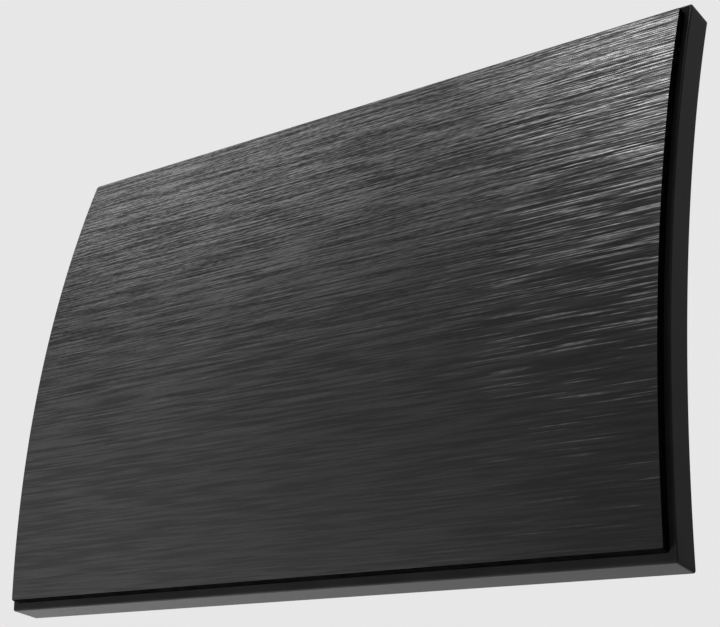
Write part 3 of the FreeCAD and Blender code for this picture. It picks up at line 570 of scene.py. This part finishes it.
FINISHES: dict[Slot, Finish] = {
    Slot.FRONT: BrushedBlack("brushed_black"),
    Slot.FRAME: MouldedPlastic("satin_black_plastic"),
    Slot.COVER: MouldedPlastic(
        "grained_black_plastic",
        colour=(0.020, 0.020, 0.0205),
        worn=(0.024, 0.024, 0.0246),
        gloss=0.50,
        specular=0.32,
        grain=1.1 * MM,
        relief=0.09 * MM,
    ),
    Slot.TAPE: SoftMatter("foam_tape", grey(0.05), grey(0.08), 0.9),
    Slot.SCREW: PlainMetal("blackened_steel", (0.16, 0.16, 0.17), grey(0.08), 0.30),
    Slot.FOOT: SoftMatter(
        "grey_rubber", (0.034, 0.034, 0.035), (0.046, 0.046, 0.047), 0.78, specular=0.3
    ),
    Slot.FILM: SoftMatter("clear_film", (0.62, 0.55, 0.40), (0.68, 0.61, 0.46), 0.30),
    Slot.FOIL: PlainMetal("aluminium_foil", (0.78, 0.78, 0.79), (0.66, 0.66, 0.67), 0.28),
    Slot.BOARD: SoftMatter("green_laminate", (0.02, 0.12, 0.05), (0.03, 0.17, 0.07), 0.42),
    Slot.FERRITE: SoftMatter("grey_ferrite", (0.05, 0.05, 0.055), (0.08, 0.08, 0.085), 0.62),
    Slot.WIRE: PlainMetal("enamelled_copper", (0.62, 0.26, 0.12), (0.42, 0.15, 0.07), 0.30),
    Slot.CHIP: SoftMatter("fired_ceramic", (0.42, 0.31, 0.20), (0.50, 0.38, 0.26), 0.5),
    Slot.SPRING: PlainMetal("spring_bronze", (0.66, 0.42, 0.20), (0.46, 0.28, 0.13), 0.30),
    Slot.SOCKET: PlainMetal("nickel_plate"),
    Slot.INSULATOR: SoftMatter("white_resin", (0.78, 0.77, 0.74), (0.84, 0.83, 0.80), 0.45),
}
NODE_FINISHES: dict[str, Finish] = {
    "coax_socket_contact": PlainMetal("plain_brass", (0.70, 0.48, 0.18), (0.52, 0.33, 0.12), 0.24),
}
PLATE_EDGE = SoftMatter("matt_black_edge", grey(0.0012), grey(0.0022), 0.75, specular=0.0)
# Copy of the frame plastic for the lip: no specular, and a slightly darker colour as painted shade where
# the proud plate shades the lip.
SHADED_FRAME_LIP = MouldedPlastic(
    "dull_black_plastic", (0.0098, 0.0098, 0.0100), (0.0120, 0.0120, 0.0122), 0.6, specular=0.0
)


@dataclass
class MeshDraft:
    """Mesh under construction, in metres in the shared frame."""

    points: list[Vector] = field(default_factory=list)
    faces: list[tuple[int, ...]] = field(default_factory=list)
    marks: list[int] = field(default_factory=list)

    def row(self, points: Sequence[Vector]) -> list[int]:
        """Add a row of points.

        Args:
            points: Points in order.

        Returns:
            Their indices.
        """
        start = len(self.points)
        self.points.extend(points)
        return list(range(start, len(self.points)))

    def face(self, corners: Sequence[int], mark: Mark = Mark.MAIN) -> None:
        """Add one face with a material mark."""
        self.faces.append(tuple(corners))
        self.marks.append(mark.value)

    def skin(self, first: Sequence[int], second: Sequence[int], mark: Mark = Mark.MAIN) -> None:
        """Join two closed rows of equal length with four-sided faces.

        Args:
            first: Indices of one row.
            second: Indices of the other row.
            mark: Material mark of the faces.
        """
        for here in range(len(first)):
            following = (here + 1) % len(first)
            self.face((first[here], first[following], second[following], second[here]), mark)

    def span(self, row: Sequence[int], mark: Mark = Mark.MAIN) -> None:
        """Fill a closed row whose second half mirrors its first with level strips.

        Args:
            row: Indices up one side and down the other.
            mark: Material mark of the faces.
        """
        last = len(row) - 1
        for here in range(len(row) // 2 - 1):
            self.face((row[here], row[here + 1], row[last - here - 1], row[last - here]), mark)

    def lathe(self, rows: Sequence[Sequence[Vector]], closed: bool) -> None:
        """Skin a stack of closed rows.

        Args:
            rows: Points of each row, all of one length.
            closed: Whether the last row joins the first; otherwise both ends get a face.
        """
        rings = [self.row(points) for points in rows]
        for first, second in zip(rings, rings[1:]):
            self.skin(first, second)
        if closed:
            self.skin(rings[-1], rings[0])
        else:
            self.face(rings[0])
            self.face(rings[-1])

    def piece(self, name: str, finishes: Sequence[Finish], crease: float = 32.0) -> bpy.types.Object:
        """Make the object.

        Args:
            name: Name of the piece.
            finishes: Finishes by material mark.
            crease: Angle in degrees above which an edge stays sharp.

        Returns:
            The new object, linked to the scene.
        """
        mesh = bpy.data.meshes.new(name)
        mesh.from_pydata(self.points, [], self.faces)
        for finish in finishes:
            mesh.materials.append(finish.material())
        mesh.polygons.foreach_set("material_index", self.marks)
        work = bmesh.new()
        work.from_mesh(mesh)
        bmesh.ops.recalc_face_normals(work, faces=work.faces)
        work.to_mesh(mesh)
        work.free()
        mesh.shade_smooth()
        mesh.set_sharp_from_angle(angle=math.radians(crease))
        made = bpy.data.objects.new(name, mesh)
        bpy.context.scene.collection.objects.link(made)
        return made


def amount_at(amount: Reach, swing: float) -> float:
    """Give a distance that may change with the angle."""
    return amount(swing) if callable(amount) else amount


@dataclass(frozen=True)
class Axis:
    """Straight line that a turned or stacked piece is built about."""

    start: Vector
    ahead: Vector
    steps: int = 48

    def row(self, reach: Reach, along: Reach) -> list[Vector]:
        """Give one closed row of points around the line.

        Args:
            reach: Distance from the line, fixed or by angle.
            along: Distance along the line, fixed or by angle.

        Returns:
            The points, evenly spread by angle from the X axis.
        """
        second = self.ahead.cross(RIGHT)
        points = []
        for step in range(self.steps):
            swing = TURN * step / self.steps
            out = RIGHT * math.cos(swing) + second * math.sin(swing)
            foot = self.start + self.ahead * amount_at(along, swing)
            points.append(foot + out * amount_at(reach, swing))
        return points


def hexagon(flat: float) -> Callable[[float], float]:
    """Give the outline of a hexagon with a corner at angle 0, by half its width over flats."""
    return lambda swing: flat / math.cos(swing % (TURN / 6) - TURN / 12)


def fold_quarter(swing: float) -> float:
    """Bring an angle into the first eighth of a turn by the symmetry of a square."""
    return min(swing % (TURN / 4), TURN / 4 - swing % (TURN / 4))


def cross(arm: float, half: float) -> Callable[[float], float]:
    """Give the outline of a cross.

    Args:
        arm: Length of its arms from the middle.
        half: Half of their width.

    Returns:
        The distance to the outline by angle.
    """
    corner = math.atan2(half, arm)

    def reach(swing: float) -> float:
        """Follow the end of an arm, and past its corner the side."""
        fold = fold_quarter(swing)
        return arm / math.cos(fold) if fold < corner else half / math.sin(fold)

    return reach


def rounded_square(half: float, corner: float) -> Callable[[float], float]:
    """Give the outline of a square with round corners.

    Args:
        half: Half of its width.
        corner: Radius of its corners.

    Returns:
        The distance to the outline by angle.
    """
    inner = half - corner

    def reach(swing: float) -> float:
        """Follow the side, and past its end the round corner.

        Args:
            swing: Angle from the X axis.

        Returns:
            The distance to the outline.
        """
        fold = fold_quarter(swing)
        if half * math.tan(fold) <= inner:
            return half / math.cos(fold)
        apart = inner * (math.cos(fold) - math.sin(fold))
        return inner * (math.cos(fold) + math.sin(fold)) + math.sqrt(corner**2 - apart**2)

    return reach


@dataclass(frozen=True)
class Thread:
    """Single-start thread, with its crest, depth and pitch."""

    crest: float
    depth: float
    pitch: float
    rows_per_turn: int = 12

    def outline(self, along: float, limit: float) -> Callable[[float], float]:
        """Give the section of the thread at one place.

        Args:
            along: Distance along the axis.
            limit: Reach that a lead-in leaves there.

        Returns:
            The distance from the axis by angle.
        """

        def reach(swing: float) -> float:
            """Wind the groove around the axis.

            Args:
                swing: Angle from the X axis.

            Returns:
                The distance from the axis.
            """
            phase = along / self.pitch - swing / TURN
            groove = 0.5 - 0.5 * math.cos(TURN * phase)
            return min(self.crest - self.depth * groove, limit)

        return reach

    def rows(self, axis: Axis, start: float, end: float, root: float) -> list[list[Vector]]:
        """Give the rows of a threaded length that is led in at both ends.

        Args:
            axis: Line that the thread winds about.
            start: Where the thread starts along the line.
            end: Where it ends.
            root: Reach of both ends.

        Returns:
            The rows from start to end.
        """
        count = round((end - start) / self.pitch * self.rows_per_turn)
        places = [start + (end - start) * step / count for step in range(count + 1)]
        limits = [root + min(place - start, end - place) for place in places]
        return [axis.row(self.outline(place, limit), place) for place, limit in zip(places, limits)]


def hand_over(piece: bpy.types.Object, slot: Slot, *nodes: str) -> None:
    """Fix a piece to the panel in place of its solids and report it.

    Args:
        piece: Finished piece.
        slot: Record's slot that the finish belongs to; not used.
        *nodes: Solids that the piece stands for.
    """
    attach(piece, "root")
    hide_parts(*nodes)
    LOG.info("%s: %d faces in place of %s", piece.name, len(piece.data.polygons), ", ".join(nodes))


@dataclass(frozen=True)
class Bend:
    """Curve that every layer of the panel follows, about a level axis behind it."""

    height: float = 168 * MM
    bulge: float = 8.4 * MM
    depth: float = 10 * MM
    hang_row: float = 54 * MM

    @property
    def radius(self) -> float:
        """Radius of the lip's front."""
        return ((self.height / 2) ** 2 + self.bulge**2) / (2 * self.bulge)

    def depth_at(self, layer: float, up: float) -> float:
        """Give the depth of a layer at a height above the middle."""
        return self.radius - self.bulge - math.sqrt((self.radius - layer) ** 2 - up**2)

    def point(self, across: float, layer: float, up: float) -> Vector:
        """Give a point of the shared frame.

        Args:
            across: Distance to the right of the middle.
            layer: Distance behind the front of the lip.
            up: Height above the middle.

        Returns:
            The point, measured from between the keyholes.
        """
        origin = self.depth_at(self.depth, self.hang_row)
        return Vector((across, self.depth_at(layer, up) - origin, up - self.hang_row))


BEND = Bend()


@dataclass(frozen=True)
class Rim:
    """Closed outline in one layer: half sizes, layer and corner radius."""

    half_width: float
    half_height: float
    layer: float
    corner: float
    arc_steps: int = 6
    side_steps: int = 84

    def inside(self, inset: float) -> "Rim":
        """Give the rim that runs inside this one in the same layer."""
        return Rim(self.half_width - inset, self.half_height - inset, self.layer, self.corner - inset)

    def points(self) -> list[Vector]:
        """Give the points of the outline.

        Returns:
            The points up the right side and down the left.
        """
        reach = self.half_height - self.corner
        inner = self.half_width - self.corner
        lower: list[Span] = []
        for step in range(self.arc_steps + 1):
            swing = TURN / 4 * step / self.arc_steps
            lower.append((inner + self.corner * math.sin(swing), -reach - self.corner * math.cos(swing)))
        steps = range(1, self.side_steps)
        straight = [(self.half_width, reach * (2 * step / self.side_steps - 1)) for step in steps]
        side = [*lower, *straight, *((across, -up) for across, up in reversed(lower))]
        right = [BEND.point(across, self.layer, up) for across, up in side]
        left = [BEND.point(-across, self.layer, up) for across, up in reversed(side)]
        return right + left


def rounded_edge(start: Rim, end: Rim, steps: int = 4) -> Iterator[Rim]:
    """Turn from one rim to the next along a quarter round.

    A turn outwards leaves the first rim sideways, and a turn inwards leaves it straight back.

    Args:
        start: First rim.
        end: Last rim, one radius further out or in and one radius deeper.
        steps: Faces along the quarter.

    Yields:
        The rims of the turn, both ends included.
    """
    outward = end.half_width > start.half_width
    for step in range(steps + 1):
        swing = TURN / 4 * step / steps
        early, late = math.sin(swing), 1 - math.cos(swing)
        wide, deep = (early, late) if outward else (late, early)
        yield Rim(
            start.half_width + (end.half_width - start.half_width) * wide,
            start.half_height + (end.half_height - start.half_height) * wide,
            start.layer + (end.layer - start.layer) * deep,
            start.corner + (end.corner - start.corner) * wide,
        )


@dataclass
class FrontPlate:
    """Brushed plate that stands proud of the lip.

    Its texture space lies behind it and is stretched along the width, so that the drawn finish keeps
    one direction all over the plate.
    """

    half_width: float = 122.85 * MM
    half_height: float = 81.3 * MM
    proud: float = 2.8 * MM
    inset: float = 0.6 * MM
    skin: float = 2.0 * MM
    land: float = 8.5 * MM
    corner: float = 0.8 * MM
    edge: float = 0.28 * MM
    core_corner: float = 0.3 * MM
    brushed_rings: int = 1
    grain_centre: Extent = (0.0, 1.0, 0.0)
    grain_reach: Extent = (100.0, 0.5, 1.0)

    def build(self) -> bpy.types.Object:
        """Make the plate with its rounded edge, land and core.

        Returns:
            The finished plate.
        """
        full = Rim(self.half_width, self.half_height, -self.proud, self.corner)
        flat = full.inside(2 * self.edge)
        front = full.inside(self.edge)
        wall = Rim(self.half_width, self.half_height, self.edge - self.proud, self.corner)
        back = Rim(self.half_width, self.half_height, self.inset, self.corner)
        inner = (self.half_width - self.land, self.half_height - self.land)
        land = Rim(*inner, self.inset, self.core_corner)
        core = Rim(*inner, self.skin - self.proud, self.core_corner)
        draft = MeshDraft()
        rims = (flat, *rounded_edge(front, wall), back, land, core)
        rings = [draft.row(rim.points()) for rim in rims]
        draft.span(rings[0])
        for place, (first, second) in enumerate(zip(rings, rings[1:])):
            draft.skin(first, second, Mark.MAIN if place < self.brushed_rings else Mark.EDGE)
        draft.span(rings[-1], Mark.EDGE)
        plate = draft.piece("front_plate", (FINISHES[Slot.FRONT], PLATE_EDGE))
        plate.data.use_auto_texspace = False
        plate.data.texspace_location = self.grain_centre
        plate.data.texspace_size = self.grain_reach
        return plate

    def dress(self) -> None:
        """Put the plate in the place of its solid."""
        hand_over(self.build(), Slot.FRONT, "front_panel")


@dataclass
class Surround:
    """Plastic frame: outer wall, lip, ledge for the plate and step for the cover."""

    half_width: float = 125 * MM
    half_height: float = BEND.height / 2
    depth: float = BEND.depth
    wall: float = 2.6 * MM
    corner: float = 0.8 * MM
    edge: float = 0.3 * MM
    seat_side: float = 2.0 * MM
    seat_end: float = 2.55 * MM
    ledge_front: float = 1.05 * MM
    ledge_thick: float = 1.6 * MM
    ledge_width: float = 9 * MM
    cover_thick: float = 1.8 * MM
    cover_rest: float = 0.8 * MM
    inner_corner: float = 0.3 * MM
    seat_corner: float = 0.9 * MM
    boss: float = 3.0 * MM
    boss_column: float = 108 * MM
    boss_row: float = 75.5 * MM
    boss_end: float = -0.63 * MM
    pilot: float = 1.05 * MM
    # Ring of the lip, which takes the painted-shade copy of the plastic.
    lip_ring: int = 0

    def add_bosses(self, draft: MeshDraft) -> None:
        """Stand four bored screw bosses on the back of the ledge.

        Args:
            draft: Mesh of the frame.
        """
        inside_ledge = self.ledge_front + self.ledge_thick / 2
        for side in Side:
            for level in Level:
                across, up = side.value * self.boss_column, level.value * self.boss_row
                root = BEND.point(across, inside_ledge, up)
                axis = Axis(root, BACK)
                tall = self.boss_end - root.y
                ends = ((self.boss, 0), (self.boss, tall), (self.pilot, tall), (self.pilot, self.edge))
                draft.lathe([axis.row(reach, along) for reach, along in ends], closed=False)

    def rims(self) -> list[Rim]:
        """Give the closed run of rims.

        Returns:
            The rims from the lip's inner edge round the outside and back through the inside.
        """
        seat = (self.half_width - self.seat_side, self.half_height - self.seat_end)
        window = tuple(half - self.ledge_width for half in seat)
        room = (self.half_width - self.wall, self.half_height - self.wall)
        rest = tuple(half + self.cover_rest for half in room)
        full = (self.half_width, self.half_height)
        ledge_back = self.ledge_front + self.ledge_thick
        cover_front = self.depth - self.cover_thick
        front = Rim(*full, 0, self.corner)
        back = Rim(*full, self.depth, self.corner)
        hold = 2 * self.edge
        return [
            Rim(*seat, 0, self.seat_corner),
            front.inside(hold),
            *rounded_edge(front.inside(self.edge), Rim(*full, self.edge, self.corner)),
            Rim(*full, hold, self.corner),
            Rim(*full, self.depth - hold, self.corner),
            *rounded_edge(Rim(*full, self.depth - self.edge, self.corner), back.inside(self.edge)),
            back.inside(hold),
            Rim(*rest, self.depth, self.inner_corner),
            Rim(*rest, cover_front, self.inner_corner),
            Rim(*room, cover_front, self.inner_corner),
            Rim(*room, ledge_back, self.inner_corner),
            Rim(*window, ledge_back, self.inner_corner),
            Rim(*window, self.ledge_front, self.inner_corner),
            Rim(*seat, self.ledge_front, self.seat_corner),
        ]

    def build(self) -> bpy.types.Object:
        """Make the frame as one closed ring.

        Returns:
            The finished frame.
        """
        draft = MeshDraft()
        rings = [draft.row(rim.points()) for rim in self.rims()]
        for place, ring in enumerate(rings):
            mark = Mark.EDGE if place == self.lip_ring else Mark.MAIN
            draft.skin(ring, rings[(place + 1) % len(rings)], mark)
        self.add_bosses(draft)
        return draft.piece("surround", (FINISHES[Slot.FRAME], SHADED_FRAME_LIP))

    def dress(self) -> None:
        """Put the frame in the place of its solid."""
        hand_over(self.build(), Slot.FRAME, "bezel_frame")


@dataclass
class WallFeet:
    """Square rubber feet with soft edges that bear on the wall."""

    corner: float = 1.4 * MM
    edge: float = 0.8 * MM
    edge_steps: int = 5
    sole_inset: float = 1.8 * MM
    outline_steps: int = 96

    def build(self, node: str) -> bpy.types.Object:
        """Make one foot.

        Args:
            node: Solid whose place the foot takes.

        Returns:
            The finished foot.
        """
        low, high = (Vector(corner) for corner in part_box(node))
        middle = (low + high) / 2
        half = (high.x - low.x) / 2
        tall = high.y - low.y
        axis = Axis(Vector((middle.x, low.y, middle.z)), BACK, self.outline_steps)
        rows = [axis.row(rounded_square(half, self.corner), 0)]
        for step in range(self.edge_steps + 1):
            swing = TURN / 4 * step / self.edge_steps
            inset = self.edge * (1 - math.cos(swing))
            along = tall - self.edge * (1 - math.sin(swing))
            rows.append(axis.row(rounded_square(half - inset, self.corner - inset), along))
        sole = half - self.sole_inset
        rows.append(axis.row(rounded_square(sole, self.corner - self.edge), tall))
        draft = MeshDraft()
        draft.lathe(rows, closed=False)
        return draft.piece(node.replace("wall_foot", "rubber_foot"), (FINISHES[Slot.FOOT],))

    def dress(self) -> None:
        """Put a foot in the place of each solid foot."""
        for level in Level:
            for side in Side:
                node = f"wall_foot_{level.name.lower()}_{side.name.lower()}"
                hand_over(self.build(node), Slot.FOOT, node)


@dataclass
class CoverScrews:
    """Pan-headed screws with a cross recess that hold the back.

    The crown gives the head's outline as shares of its radius and thickness, from its rim to its top.
    """

    head: float = 2.4 * MM
    head_thick: float = 1.6 * MM
    tip: float = 0.3 * MM
    thread: Thread = Thread(1.03 * MM, 0.24 * MM, 0.8 * MM, rows_per_turn=8)
    run_out: float = 0.5 * MM
    recess_arm: float = 1.4 * MM
    recess_half: float = 0.4 * MM
    recess_depth: float = 0.9 * MM
    recess_taper: float = 0.7
    crown: tuple[Span, ...] = ((1.0, 0.06), (1.0, 0.5), (0.97, 0.7), (0.88, 0.87), (0.74, 0.97))

    def add_screw(self, draft: MeshDraft, axis: Axis, reach_in: float) -> None:
        """Add one screw.

        Args:
            draft: Mesh of the group.
            axis: Line from the underside of the head outwards.
            reach_in: Length below the head.
        """
        rows = [axis.row(self.tip, -reach_in)]
        root = self.thread.crest - self.thread.depth
        rows += self.thread.rows(axis, self.run_out - reach_in, -self.run_out, root)
        rows.append(axis.row(root, 0))
        rows += [axis.row(self.head * wide, self.head_thick * tall) for wide, tall in self.crown]
        recess = cross(self.recess_arm, self.recess_half)
        narrow = cross(self.recess_arm * self.recess_taper, self.recess_half * self.recess_taper)
        floor = self.head_thick - self.recess_depth
        rows.append(axis.row(recess, self.head_thick))
        rows.append(axis.row(narrow, (self.head_thick + floor) / 2))
        rows.append(axis.row(self.tip, floor))
        draft.lathe(rows, closed=False)

    def dress(self) -> None:
        """Put the group of screws in the place of its solids."""
        low, high = (Vector(corner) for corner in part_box("cover_screws"))
        under = high.y - self.head_thick
        draft = MeshDraft()
        for across in (low.x + self.head, high.x - self.head):
            for up in (low.z + self.head, high.z - self.head):
                self.add_screw(draft, Axis(Vector((across, under, up)), BACK), under - low.y)
        hand_over(draft.piece("cover_screw_set", (FINISHES[Slot.SCREW],)), Slot.SCREW, "cover_screws")


@dataclass
class AerialSocket:
    """Threaded socket that a plug screws on to, and its nut."""

    thread: Thread = Thread(4.76 * MM, 0.40 * MM, 0.794 * MM)
    thread_length: float = 9 * MM
    neck: float = 4.4 * MM
    bore: float = 3.2 * MM
    mouth: float = 0.35 * MM
    block_half: float = 5 * MM
    block_length: float = 9 * MM
    block_corner: float = 0.5 * MM
    block_edge: float = 0.3 * MM
    leg_half: float = 0.45 * MM
    leg_corner: float = 0.1 * MM
    leg_column: float = 3.8 * MM
    leg_inset: float = 1.8 * MM
    nut_flat: float = 6.35 * MM
    nut_bore: float = 4.42 * MM
    nut_lead: float = 0.3 * MM
    nut_face: float = 6.05 * MM
    nut_slope: float = math.tan(math.radians(30))
    nut_crease: float = 20.0
    barrel_steps: int = 96
    leg_steps: int = 32
    nut_steps: int = 72

    def axis_from(self, height: float, steps: int) -> Axis:
        """Give the socket's upward axis.

        Args:
            height: Where it starts.
            steps: Points of each row about it.

        Returns:
            The axis through the middle of the nut.
        """
        low, high = (Vector(corner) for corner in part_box("coax_socket_nut"))
        middle = (low + high) / 2
        return Axis(Vector((middle.x, middle.y, height)), UP, steps)

    def add_legs(self, draft: MeshDraft, axis: Axis, reach: float, places: Sequence[float]) -> None:
        """Add the four legs that are soldered into the board.

        Args:
            draft: Mesh of the body.
            axis: Axis of the socket.
            reach: How far forward of the axis the legs end.
            places: Distances along the axis of the two pairs.
        """
        tip = self.leg_half - self.leg_corner
        for along in places:
            for side in Side:
                start = axis.start + axis.ahead * along + RIGHT * side.value * self.leg_column
                leg = Axis(start, -BACK, self.leg_steps)
                ends = (
                    (self.leg_half, self.block_half - self.block_edge),
                    (self.leg_half, reach - self.leg_half),
                    (tip, reach),
                )
                rows = [leg.row(rounded_square(half, self.leg_corner), out) for half, out in ends]
                draft.lathe(rows, closed=False)

    def build_body(self) -> bpy.types.Object:
        """Make the barrel, neck, block and legs.

        Returns:
            The finished body.
        """
        low, high = (Vector(corner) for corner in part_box("coax_socket_body"))
        axis = self.axis_from(low.z, self.barrel_steps)
        end = high.z - low.z
        block = end - self.block_length
        side = rounded_square(self.block_half, self.block_corner)
        inset = rounded_square(self.block_half - self.block_edge, self.block_corner)
        root = self.thread.crest - self.thread.depth
        rows = [
            axis.row(self.bore, end),
            axis.row(self.bore, self.mouth),
            axis.row(self.bore + self.mouth, 0),
            *self.thread.rows(axis, 0, self.thread_length, root),
            axis.row(self.neck, self.thread_length),
            axis.row(self.neck, block),
            axis.row(inset, block),
            axis.row(side, block + self.block_edge),
            axis.row(side, end - self.block_edge),
            axis.row(inset, end),
        ]
        draft = MeshDraft()
        draft.lathe(rows, closed=True)
        places = (block + self.leg_inset, end - self.leg_inset)
        self.add_legs(draft, axis, axis.start.y - low.y, places)
        return draft.piece("socket_barrel", (FINISHES[Slot.SOCKET],))

    def build_nut(self) -> bpy.types.Object:
        """Make the nut, with both faces turned down at the corners.

        Returns:
            The finished nut.
        """
        low, high = (Vector(corner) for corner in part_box("coax_socket_nut"))
        axis = self.axis_from(low.z, self.nut_steps)
        thick = high.z - low.z
        corner = hexagon(self.nut_flat)
        wide = self.nut_bore + self.nut_lead

        def drop(swing: float) -> float:
            """Depth of the turned-down face at the outline."""
            return (corner(swing) - self.nut_face) * self.nut_slope

        rows = [
            axis.row(self.nut_bore, self.nut_lead),
            axis.row(wide, 0),
            axis.row(self.nut_face, 0),
            axis.row(corner, drop),
            axis.row(corner, lambda swing: thick - drop(swing)),
            axis.row(self.nut_face, thick),
            axis.row(wide, thick),
            axis.row(self.nut_bore, thick - self.nut_lead),
        ]
        draft = MeshDraft()
        draft.lathe(rows, closed=True)
        return draft.piece("socket_nut", (FINISHES[Slot.SOCKET],), self.nut_crease)

    def dress(self) -> None:
        """Put the body and the nut in the place of their solids."""
        hand_over(self.build_body(), Slot.SOCKET, "coax_socket_body")
        hand_over(self.build_nut(), Slot.SOCKET, "coax_socket_nut")


def dress_solids() -> None:
    """Give each solid its own finish or that of its slot."""
    for entry in frame["record"]["subparts"]:
        name = entry["node"]
        finish = NODE_FINISHES.get(name, FINISHES[Slot(entry["material_slot"])])
        materials = frame["nodes"][name].data.materials
        materials.clear()
        materials.append(finish.material())
        LOG.info("%s: %s", name, finish.name)


@dataclass(frozen=True)
class Lamp:
    """Soft rectangular lamp: its place and its width and height in metres, and its power in watts."""

    name: str
    place: Extent
    size: Span
    power: float

    def build(self, aim: Extent) -> None:
        """Stand the lamp in the studio.

        Args:
            aim: Point that it faces.
        """
        data = bpy.data.lights.new(self.name, "AREA")
        data.shape = "RECTANGLE"
        data.size, data.size_y = self.size
        data.energy = self.power
        lamp = bpy.data.objects.new(self.name, data)
        lamp.location = self.place
        lamp.rotation_euler = (Vector(aim) - Vector(self.place)).to_track_quat("-Z", "Y").to_euler()
        bpy.context.scene.collection.objects.link(lamp)


@dataclass
class Studio:
    """Pale floor and surroundings, soft lamps and the camera."""

    floor_drop: float = 0.9
    floor_half: float = 6.0
    pale: Colour = grey(0.80)
    fill: float = 0.45
    aim: Extent = (0.0, 0.0, -0.05)
    lamps: tuple[Lamp, ...] = (
        Lamp("key", (-0.33, -0.44, 1.19), (0.80, 0.5), 14.9),
        Lamp("sky", (-1.17, -0.30, 1.12), (1.2, 0.6), 17.6),
        Lamp("fill", (-0.94, -0.47, 0.07), (0.72, 0.84), 2.75),
        Lamp("lip", (-0.62, -0.27, -0.74), (0.5, 0.3), 18.5),
        Lamp("low", (-0.7, 1.0, -0.65), (1.6, 0.8), 5.3),
        Lamp("rear", (-0.95, 0.85, 1.0), (0.7, 0.5), 23.0),
    )
    azimuth: float = 39.846
    elevation: float = -23.850
    roll: float = -6.957
    target: Extent = (13.5 * MM, -0.07 * MM, 4.12 * MM)
    distance: float = 473.03 * MM
    focal_pixels: float = 1503.3
    picture_pixels: float = 720.0
    sensor: float = 36.0
    nearest: float = 10 * MM

    def build_world(self) -> None:
        """Show a pale background and light the object with a dimmer, even fill."""
        world = bpy.data.worlds.new("studio")
        bpy.context.scene.world = world
        tree = ShaderTree(world)
        strength = self.fill + tree.shown() * (1.0 - self.fill)
        glow = tree.add("ShaderNodeBackground", {"Color": (*self.pale, 1.0), "Strength": strength})
        tree.add("ShaderNodeOutputWorld", {"Surface": glow})

    def build_floor(self) -> None:
        """Lay the floor well below the panel."""
        half = self.floor_half
        draft = MeshDraft()
        corners = ((-half, -half), (half, -half), (half, half), (-half, half))
        draft.face(draft.row([Vector((x, y, -self.floor_drop)) for x, y in corners]))
        draft.piece("floor", (PaleFloor("pale_floor"),))

    def build_camera(self) -> None:
        """Stand the camera where the photograph was taken from."""
        angles = (self.azimuth, self.elevation, self.roll)
        swing, rise, roll = (math.radians(angle) for angle in angles)
        level = math.cos(rise)
        ahead = Vector((-math.sin(swing) * level, math.cos(swing) * level, -math.sin(rise)))
        right = ahead.cross(UP).normalized()
        down = ahead.cross(right)
        turned_right = math.cos(roll) * right + math.sin(roll) * down
        turned_down = math.cos(roll) * down - math.sin(roll) * right
        origin = Vector((0, BEND.depth_at(BEND.depth, BEND.hang_row), BEND.hang_row))
        place = Vector(self.target) - origin - ahead * self.distance
        data = bpy.data.cameras.new("camera")
        data.sensor_fit = "HORIZONTAL"
        data.sensor_width = self.sensor
        data.lens = self.sensor * self.focal_pixels / self.picture_pixels
        data.clip_start = self.nearest
        camera = bpy.data.objects.new("camera", data)
        axes = Matrix((turned_right, -turned_down, -ahead)).transposed()
        camera.matrix_world = Matrix.Translation(place) @ axes.to_4x4()
        bpy.context.scene.collection.objects.link(camera)
        bpy.context.scene.camera = camera

    def build(self) -> None:
        """Set up everything around the object."""
        bpy.context.scene.view_settings.view_transform = "Standard"
        self.build_world()
        self.build_floor()
        for lamp in self.lamps:
            lamp.build(self.aim)
        self.build_camera()


def main() -> None:
    """Dress the antenna piece by piece and set up the studio."""
    logging.basicConfig(level=logging.INFO)
    dress_solids()
    for part in (FrontPlate(), Surround(), WallFeet(), CoverScrews(), AerialSocket()):
        part.dress()
    Studio().build()


if __name__ == "__main__":
    main()
